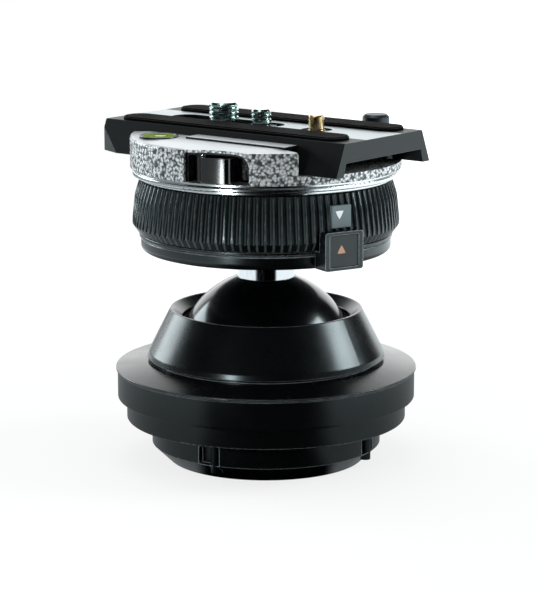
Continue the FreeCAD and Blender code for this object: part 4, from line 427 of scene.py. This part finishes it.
# %% Blasted black plate with a bright deck
def plate_finish():
    """Fine blasted grain in black, and a machined bright deck on the top face: the deck is where
    the masks by height, by facing and by distance from the middle line, multiplied, are 1."""
    cool = {"Specular IOR Level": 0.6, "Specular Tint": hex_colour("#EFF8FA")}
    material, tree, shader = surface("black_blasted_plate", BLASTED_BLACK, 0.48, **cool)
    here = place_mm(tree)
    x, y, z = add(tree, "SeparateXYZ", (here,))
    facing = add(tree, "SeparateXYZ", (add(tree, "NewGeometry")["Normal"],))[2]
    aside = add(tree, "Math", (y,), operation="ABSOLUTE")[0]
    high = add(tree, "MapRange", (z, *DECK_HEIGHT), **EASE)[0]
    upward = add(tree, "MapRange", (facing, *DECK_FACING), **EASE)[0]
    between = add(tree, "MapRange", (aside, *DECK_SIDE), **EASE)[0]
    deck = add(tree, "Math", (high, upward), operation="MULTIPLY")[0]
    deck = add(tree, "Math", (deck, between), operation="MULTIPLY")[0]
    # Painted highlight: the plate's edges are painted a paler grey.
    soft, mask = edge(tree, PLATE_EDGE_MM)
    highlight_share = add(tree, "Math", (mask, PLATE_EDGE_HIGHLIGHT), operation="MULTIPLY")[0]
    black = add(tree, "Mix", {SHARE: highlight_share, UNDER: BLASTED_BLACK, OVER: EDGE_HIGHLIGHT_GREY}, **BLEND)[MIXED]
    colour = add(tree, "Mix", {SHARE: deck, UNDER: black, OVER: CUT_ALUMINIUM}, **BLEND)[MIXED]
    grain = add(tree, "TexNoise", {"Vector": here, "Scale": 1 / BLAST_MM, "Detail": 3.0})[0]
    rough = add(tree, "MapRange", (grain, *CLOUD, *BLAST_ROUGH), **EASE)[0]
    bump = add(tree, "Bump", {"Height": grain, "Distance": BLAST_DEPTH_MM * MM, "Normal": soft})[0]
    feed(shader, {"Base Color": colour, "Metallic": deck, "Roughness": rough, "Normal": bump})
    return material


PLATE = plate_finish()
print("made", PLATE.name)

# %% [markdown]
# ## Rubber, plastics and the vial
#
# The grip strips are moulded rubber with a fine texture that keeps a camera from creeping, so
# they hardly shine. The lever is lacquered to a deep gloss. The push button is matt black and the
# index plate grey moulded plastic, and the vial is clear acrylic over a yellow-green spirit. A
# mould's grain is about 0.1 mm and is drawn at 0.3 mm or more, so that it shows.

# %% Rubber, lacquer, plastics, spirit
DRIFT_MM = 10.0
MOULD_EDGE_HIGHLIGHT = 0.1
MOULD_HIGHLIGHT_COLOUR = "#C8CCCD"


def grained(name, colour, roughness, grain_mm, depth_mm, edge_mm=0.2, **sockets):
    """A moulded surface: fine noise in height, a slow drift in roughness, and edges painted a
    little paler as a painted highlight."""
    material, tree, shader = surface(name, colour, roughness, **sockets)
    here = place_mm(tree)
    drift = add(tree, "TexNoise", {"Vector": here, "Scale": 1 / DRIFT_MM, "Detail": 2.0})[0]
    rough = add(tree, "MapRange", (drift, *CLOUD, roughness - 0.04, roughness + 0.04), **EASE)[0]
    soft, mask = edge(tree, edge_mm)
    # Painted highlight: the edges are painted a little paler.
    highlight_share = add(tree, "Math", (mask, MOULD_EDGE_HIGHLIGHT), operation="MULTIPLY")[0]
    edge_lit = add(tree, "Mix", {SHARE: highlight_share, UNDER: colour, OVER: MOULD_HIGHLIGHT_COLOUR}, **BLEND)[MIXED]
    grain = add(tree, "TexNoise", {"Vector": here, "Scale": 1 / grain_mm, "Detail": 3.0})[0]
    bump = add(tree, "Bump", {"Height": grain, "Distance": depth_mm * MM, "Normal": soft})[0]
    feed(shader, {"Base Color": edge_lit, "Roughness": rough, "Normal": bump})
    return material


DULL = {"Specular IOR Level": 0.04}
CLEAR_COAT = {"Coat Weight": 1.0, "Coat Roughness": 0.12}
ACRYLIC = {"IOR": 1.49, "Coat Weight": 1.0, "Coat Roughness": 0.03}
LACQUER_EDGE_MM, PRINT_EDGE_MM = 0.5, 0.01
#                name                   colour     rough, then grain, depth and edge in mm
RUBBER = grained("moulded_rubber_grip", "#050506", 0.75, 0.35, 0.03, **DULL)
LACQUER = grained("gloss_black_lacquer", "#050607", 0.14, 2.0, 0.002, LACQUER_EDGE_MM, **CLEAR_COAT)
PLASTIC = grained("matt_black_moulding", "#2A3133", 0.4, 0.3, 0.008)
PALE_PLASTIC = grained("grey_index_moulding", "#667579", 0.42, 0.3, 0.006)
POLYMER = grained("acetal_bearing", "#D9D6CC", 0.45, 0.5, 0.006)
WHITE_PRINT = grained("white_pad_print", "#E9EEEE", 0.5, 0.3, 0.001, PRINT_EDGE_MM)
WARM_PRINT = grained("warm_pad_print", "#B98E74", 0.5, 0.3, 0.001, PRINT_EDGE_MM)
BLACK_PRINT = grained("black_ring_print", "#0A0C08", 0.4, 0.3, 0.001, PRINT_EDGE_MM)
SPIRIT = grained("spirit_in_acrylic", "#C9F045", 0.08, 3.0, 0.001, **ACRYLIC)
BUBBLE = grained("air_bubble", "#E4F58F", 0.05, 3.0, 0.001, **{"IOR": 1.3, "Coat Weight": 1.0})
print("moulded, lacquered and printed finishes made, and", SPIRIT.name)

# %% [markdown]
# ## Giving every node its finish
#
# A node keeps its own shape. Only its material slots change, and every visible or hidden part is
# named here once.

# %% Finishes by node
FINISHES = [
    (ANODISED, "base_disc flange_body cone_housing collar_housing button_block small_screw_bush"
               " level_cup"),
    (ANODISED_COVER, "base_cover seat_carrier pin_cup"),
    (BALL_BLACK, "ball"),
    (RIBBED, "locking_collar"),
    (HAMMERED, "clamp_body moving_jaw"),
    (BRIGHT, "catch_cover large_screw_washer centre_sleeve brake_cap preload_ring"),
    (STEEL, "neck_stem push_rod cross_pin thrust_ball thrust_cup cam_ring stem_nut lever_pivot"
            " jaw_stud"),
    (ZINC, "camera_screw_large camera_screw_small"),
    (BRASS, "registration_pin"),
    (SPRING, "disc_springs cap_springs cap_snap_ring button_spring button_clip jaw_springs"
             " catch_spring pin_spring"),
    (BLACK_OXIDE, "flange_screws cover_screws cam_screws block_screws stop_screws spigot_dowels"),
    (DARK_ALLOY, "release_catch"),
    (PLATE, "quick_plate"),
    (RUBBER, "grip_strip_front grip_strip_rear rim_wiper"),
    (LACQUER, "clamp_lever"),
    (PLASTIC, "push_button"),
    (PALE_PLASTIC, "collar_index"),
    (POLYMER, "upper_liner lower_seat slide_ring thrust_washer"),
    (SPIRIT, "level_vial"),
]
dressed = set()
for material, names in FINISHES:
    for name in names.split():
        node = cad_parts[name]
        node.data.materials.clear()
        node.data.materials.append(material)
        dressed.add(name)
print("dressed", len(dressed), "of", len(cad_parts), "left:",
      sorted(set(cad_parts) - dressed))

# %% [markdown]
# ## Spring wires on their bodies
#
# Five springs are pushed shorter when a button, pin, catch, jaw or brake moves. A copy of each
# one's own wire takes its place and rides on its body. The imported mesh is loose triangles, so
# the copy's doubled corners are joined first.

# %% Spring wires copied onto their bodies
JOIN_MM = 0.0005
UPRIGHT = (0, 0, 1)


def giving_spring(node, body):
    """A copy of the spring's own wire, with its doubled corners joined, rides on the body in its
    place, and the imported spring is hidden."""
    spring = bpy.data.objects.new(node + "_wire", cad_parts[node].data.copy())
    bpy.context.scene.collection.objects.link(spring)
    wire = bmesh.new()
    wire.from_mesh(spring.data)
    bmesh.ops.remove_doubles(wire, verts=wire.verts, dist=JOIN_MM * MM)
    wire.to_mesh(spring.data)
    wire.free()
    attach(spring, body)
    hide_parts(node)
    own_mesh(spring)


giving_spring("pin_spring", "plate")
giving_spring("jaw_springs", "head")
giving_spring("button_spring", "head")
giving_spring("catch_spring", "head")
giving_spring("cap_springs", "head")

# %% [markdown]
# ## Turning arrays into meshes
#
# The printed marks, the ring and the bubble are surfaces of two parameters. numpy works out the
# whole grid of points at once, and one function hands it to Blender.

# %% Grid to mesh
def mesh_of(name, points, faces, material, body, smooth=False):
    """Makes an object at the origin from points in millimetres, and lets it ride on a body."""
    mesh = bpy.data.meshes.new(name)
    corners = [tuple(int(i) for i in face) for face in faces]
    mesh.from_pydata((np.asarray(points) * MM).tolist(), [], corners)
    mesh.polygons.foreach_set("use_smooth", [smooth] * len(mesh.polygons))
    mesh.materials.append(material)
    made = bpy.data.objects.new(name, mesh)
    bpy.context.scene.collection.objects.link(made)
    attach(made, body)
    print(name, "has", len(mesh.polygons), "faces and rides on", body)


def grid_faces(rows, columns, closed_rows=False):
    """Quads of a grid whose columns join round, and whose rows do too where it is closed."""
    r = np.arange(rows if closed_rows else rows - 1)
    rr, cc = (a.ravel() for a in np.meshgrid(r, np.arange(columns), indexing="ij"))
    up, right = (rr + 1) % rows, (cc + 1) % columns
    return np.stack([rr * columns + cc, rr * columns + right,
                     up * columns + right, up * columns + cc], 1)


# %% [markdown]
# ## Printed triangles
#
# A white triangle on the collar points down at a warm one on the button, to show which way is
# locked. Pad printing leaves about 0.02 mm of ink. Each is a thin slab with rounded corners, on
# the flat face of its part.

# %% Triangles of ink
INK_MM = 0.02
OUTLINE_POINTS = 60
ROUNDNESS = 0.1


def triangle_print(name, node, bearing, shift, size, direction, material, body):
    """Rounded triangle: nine tenths of a straight-sided triangle, which is the cosine of a sixth
    of a turn over the cosine of the angle within its third, plus a tenth of a circle. It lies on
    the node's outer face, square to its bearing."""
    angle = np.linspace(0, TURN, OUTLINE_POINTS, endpoint=False)
    third = TURN / 3
    inside = np.mod(angle, third) - third / 2
    radius = size * ((1 - ROUNDNESS) * np.cos(third / 2) / np.cos(inside) + ROUNDNESS)
    way = bearing_angle(bearing)
    out = np.array([math.cos(way), math.sin(way), 0])
    side = np.array([-math.sin(way), math.cos(way), 0])
    corners = np.array([corner.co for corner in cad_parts[node].data.vertices]) / MM
    middle = (corners[:, 2].min() + corners[:, 2].max()) / 2
    across = shift[0] - radius * np.sin(angle)
    up = middle + shift[1] + direction * radius * np.cos(angle)
    ring = out * (corners @ out).max() + side * across[:, None] + np.array(UPRIGHT) * up[:, None]
    points = np.concatenate([ring, ring + out * INK_MM])
    walls = list(grid_faces(2, OUTLINE_POINTS)[:, ::direction])
    under = tuple(range(OUTLINE_POINTS))[::-direction]
    over = tuple(range(OUTLINE_POINTS, 2 * OUTLINE_POINTS))[::direction]
    mesh_of(name, points, walls + [over, under], material, body)


triangle_print("index_triangle", "collar_index", INDEX_BEARING, (-0.8, 0.9), 1.7, -1, WHITE_PRINT,
               "collar")
triangle_print("button_triangle", "push_button", BUTTON_BEARING, (-0.9, 0.2), 1.7, 1, WARM_PRINT,
               "button")

# %% [markdown]
# ## The bubble and its ring
#
# The vial has a black target ring on the acrylic and a bubble a little to one side, because
# the head in the picture isn't quite level.

# %% Bubble and target ring
vial_low, vial_high = span("level_vial")
VIAL = (vial_low + vial_high) / 2
VIAL_TOP = vial_high[2]
RING_INNER_MM, RING_OUTER_MM, RING_THICK_MM, RING_POINTS = 2.5, 2.85, 0.03, 64
BUBBLE_RADIUS_MM, BUBBLE_RISE_MM, BUBBLE_SHIFT_MM = 1.9, 0.12, (0.5, 0.3)
DOME_ROWS, DOME_POINTS = 12, 40


def ring_print(name):
    """Flat ring: a rectangle of radius and height turned about the vial's axis."""
    turn = np.linspace(0, TURN, RING_POINTS, endpoint=False)[:, None]
    radius = np.array([RING_INNER_MM, RING_OUTER_MM, RING_OUTER_MM, RING_INNER_MM])
    height = np.array([0, 0, RING_THICK_MM, RING_THICK_MM])
    points = np.stack([VIAL[0] + radius * np.cos(turn), VIAL[1] + radius * np.sin(turn),
                       VIAL_TOP + height + 0 * turn], -1).reshape(-1, 3)
    faces = grid_faces(RING_POINTS, len(radius), closed_rows=True)[:, ::-1]
    mesh_of(name, points, faces, BLACK_PRINT, "head")


def bubble_dome(name):
    """Low dome: radius shrinks as the cosine and height grows as the sine of one angle."""
    tilt = np.linspace(0, TURN / 4, DOME_ROWS, endpoint=False)[:, None]
    turn = np.linspace(0, TURN, DOME_POINTS, endpoint=False)[None, :]
    radius = BUBBLE_RADIUS_MM * np.cos(tilt)
    shell = np.stack([VIAL[0] + BUBBLE_SHIFT_MM[0] + radius * np.cos(turn),
                      VIAL[1] + BUBBLE_SHIFT_MM[1] + radius * np.sin(turn),
                      VIAL_TOP + BUBBLE_RISE_MM * np.sin(tilt) + 0 * turn], -1).reshape(-1, 3)
    crown = tuple(range((DOME_ROWS - 1) * DOME_POINTS, DOME_ROWS * DOME_POINTS))
    foot = tuple(range(DOME_POINTS))[::-1]
    mesh_of(name, shell, list(grid_faces(DOME_ROWS, DOME_POINTS)) + [crown, foot], BUBBLE, "head",
            smooth=True)


ring_print("vial_ring")
bubble_dome("vial_bubble")
print("vial at", np.round(VIAL, 1), "mm")

# %% [markdown]
# ## A small studio
#
# Black gloss only shows what stands round it, so the studio is mostly dark. A white backdrop
# stands right behind the head and draws its bright rims. The table in front is dark, and to the
# sides and behind it is white, brighter to the right, where a card lies on it. Only mirror rays
# see all this: matt surfaces get an even glow, and the camera sees a plain white room.

# %% Directions of the studio
RIGHT = Vector((0.785, 0.62, 0.0))
FRONT = Vector((0.62, -0.785, 0.0))
UP = Vector((0.0, 0.0, 1.0))
BACKDROP_EDGE = (-0.79, -0.88)  # cosines from the front where the backdrop starts and is full
TABLE_EDGE = (0.82, 0.7)  # the same for the white part of the table


def off_front(tree, direction, starts, full):
    """Share of white from the cosine between a level direction and the front: 0 at the cosine
    where the white starts, and 1 where it is full."""
    flat = add(tree, "VectorMath", (direction, (1.0, 1.0, 0.0)), operation="MULTIPLY")[0]
    unit = add(tree, "VectorMath", (flat,), operation="NORMALIZE")[0]
    facing = add(tree, "VectorMath", (unit, FRONT), operation="DOT_PRODUCT")["Value"]
    return add(tree, "MapRange", (facing, starts, full), **EASE)[0]


print("right and front:", RIGHT[:2], FRONT[:2])

# %% [markdown]
# ## The floor
#
# A large pale sheet catches the shadow. What the camera sees of it has plain white mixed in, more
# with distance, so that it has no far edge. What a mirror sees of it depends on the place: a band
# round the base draws the soft light on the cone, and further out comes the card.

# %% Floor, with distances in metres
FLOOR_HALF = 6.0
FADE = (0.12, 0.6)
FADE_SHARE = (0.78, 1.0)
BAND, BAND_LIGHT = (0.13, 0.27), (0.38, 1.3)
CARD, CARD_LIGHT = (-0.1, 0.1), (0.35, 1.7)
BAND_TO_CARD = (0.34, 0.43)


def stage_floor():
    """Large pale floor. The share of plain light is that of the fade for the camera and all for a
    mirror. Its strength is 1 for the camera, and the band's or card's light for a mirror."""
    half = FLOOR_HALF
    mesh = bpy.data.meshes.new("floor")
    mesh.from_pydata([(-half, -half, 0), (half, -half, 0), (half, half, 0), (-half, half, 0)], [],
                     [(0, 1, 2, 3)])
    floor = bpy.data.objects.new("floor", mesh)
    bpy.context.scene.collection.objects.link(floor)
    material, tree, shader = surface("pale_floor", "#F4F4F4", 0.9, **{"Specular IOR Level": 0.0})
    path = add(tree, "LightPath")
    here = add(tree, "TexCoord")["Object"]
    away = add(tree, "VectorMath", (here,), operation="LENGTH")["Value"]
    fade = add(tree, "MapRange", (away, *FADE, *FADE_SHARE), **EASE)[0]
    seen = add(tree, "Math", (path["Is Camera Ray"], fade), operation="MULTIPLY")[0]
    share = add(tree, "Math", (seen, path["Is Glossy Ray"]), operation="MAXIMUM")[0]
    to_right = add(tree, "VectorMath", (here, RIGHT), operation="DOT_PRODUCT")["Value"]
    card = add(tree, "MapRange", (to_right, *CARD, *CARD_LIGHT), **EASE)[0]
    band = add(tree, "MapRange", (away, *BAND, *BAND_LIGHT), **EASE)[0]
    far = add(tree, "MapRange", (away, *BAND_TO_CARD), **EASE)[0]
    bright = add(tree, "Mix", {"Factor": far, "A": band, "B": card})[0]
    sides = add(tree, "Math", (off_front(tree, here, *TABLE_EDGE), bright), operation="MULTIPLY")[0]
    glow = add(tree, "Math", (path["Is Camera Ray"], sides), operation="MAXIMUM")[0]
    tint = add(tree, "Mix", {SHARE: path["Is Glossy Ray"], UNDER: "#FFFFFF", OVER: "#F1FAFD"},
               **BLEND)[MIXED]
    light = add(tree, "Emission", {"Color": tint, "Strength": glow})[0]
    blend = add(tree, "MixShader", (share, shader.outputs[0], light))[0]
    tree.links.new(blend, tree.nodes["Material Output"].inputs["Surface"])
    mesh.materials.append(material)


stage_floor()
print("floor", 2 * FLOOR_HALF, "m across")

# %% [markdown]
# ## The room
#
# The world is white to the camera, an even glow to matt surfaces, and to a mirror it is dark but
# for the backdrop, which fades upwards.

# %% World
BACKDROP_HEIGHT = (0.75, 0.2)
BACKDROP_FADE = (0.12, 1.0)
MIRROR_LIGHT = (0.02, 1.9)
MATT_LIGHT = 0.65

world = bpy.data.worlds.new("studio")
world.use_nodes = True
bpy.context.scene.world = world
air = world.node_tree
path = add(air, "LightPath")
way = add(air, "TexCoord")["Generated"]
height = add(air, "SeparateXYZ", (way,))[2]
low = add(air, "MapRange", (height, *BACKDROP_HEIGHT, *BACKDROP_FADE), **EASE)[0]
backdrop = add(air, "Math", (off_front(air, way, *BACKDROP_EDGE), low), operation="MULTIPLY")[0]
mirror = add(air, "MapRange", (backdrop, 0.0, 1.0, *MIRROR_LIGHT))[0]
mirror = add(air, "Math", (path["Is Glossy Ray"], mirror), operation="MULTIPLY")[0]
matt = add(air, "Math", (path["Is Diffuse Ray"], MATT_LIGHT), operation="MULTIPLY")[0]
plain = add(air, "Math", (path["Is Camera Ray"], path["Is Transmission Ray"]),
            operation="MAXIMUM")[0]
glow = add(air, "Math", (mirror, matt), operation="ADD")[0]
glow = add(air, "Math", (glow, plain), operation="ADD")[0]
feed(air.nodes["Background"], {"Strength": glow})
air.nodes["Background"].inputs["Color"].default_value = hex_colour("#FFFFFF")
print("world nodes:", len(air.nodes))

# %% [markdown]
# ## Lamps
#
# Each soft box is placed as a photographer would say it: to the right, to the front, and up, in
# metres. The right one draws the broad light patch on the cone, and the left one stands a little
# behind. A very small one close to the lever draws the streak on its gloss. The one on top lights
# the deck and the screws.

# %% Soft boxes
AIM = UP * 0.055
LAMP_COLOUR = "#F4FCFF"


def soft_box(name, right, front, up, width, height, watts):
    """Rectangular lamp that faces the object."""
    lamp = bpy.data.lights.new(name, "AREA")
    lamp.shape, lamp.size, lamp.size_y, lamp.energy = "RECTANGLE", width, height, watts
    lamp.color = hex_colour(LAMP_COLOUR)[:3]
    box = bpy.data.objects.new(name, lamp)
    box.location = RIGHT * right + FRONT * front + UP * up
    box.rotation_euler = (AIM - box.location).to_track_quat("-Z", "Y").to_euler()
    bpy.context.scene.collection.objects.link(box)
    print(name, "at", [round(v, 2) for v in box.location])


#                     right   front  up     wide   high   watts
soft_box("right_box", 0.78, -0.02, 0.43, 0.34, 0.32, 3.6)
soft_box("left_box", -0.66, -0.46, 0.25, 0.4, 0.34, 2.5)
soft_box("lever_box", -0.102, 0.172, 0.069, 0.024, 0.022, 0.06)
soft_box("top_box", -0.1, -0.15, 0.95, 0.5, 0.4, 2.0)

# %% [markdown]
# ## The camera
#
# The picture was taken with a long lens from a little above. The lens, place and pitch were
# solved from the outline of the base and the plate.

# %% Camera
LENS_MM, SENSOR_MM = 141.65, 36.0
PLACE_MM = (467.3, -590.1, 209.0)
PITCH = 0.206

camera = bpy.data.cameras.new("camera")
camera.lens, camera.sensor_width, camera.sensor_fit = LENS_MM, SENSOR_MM, "AUTO"
viewer = bpy.data.objects.new("camera", camera)
look = (-FRONT * math.cos(PITCH) - UP * math.sin(PITCH)).normalized()
right = RIGHT.normalized()
upward = right.cross(look)
turned = Matrix((right, upward, -look)).transposed().to_4x4()
turned.translation = Vector(PLACE_MM) * MM
viewer.matrix_world = turned
bpy.context.scene.collection.objects.link(viewer)
bpy.context.scene.camera = viewer
bpy.context.scene.view_settings.view_transform = "Standard"
print("camera", round(viewer.location.length / MM), "mm from the origin")
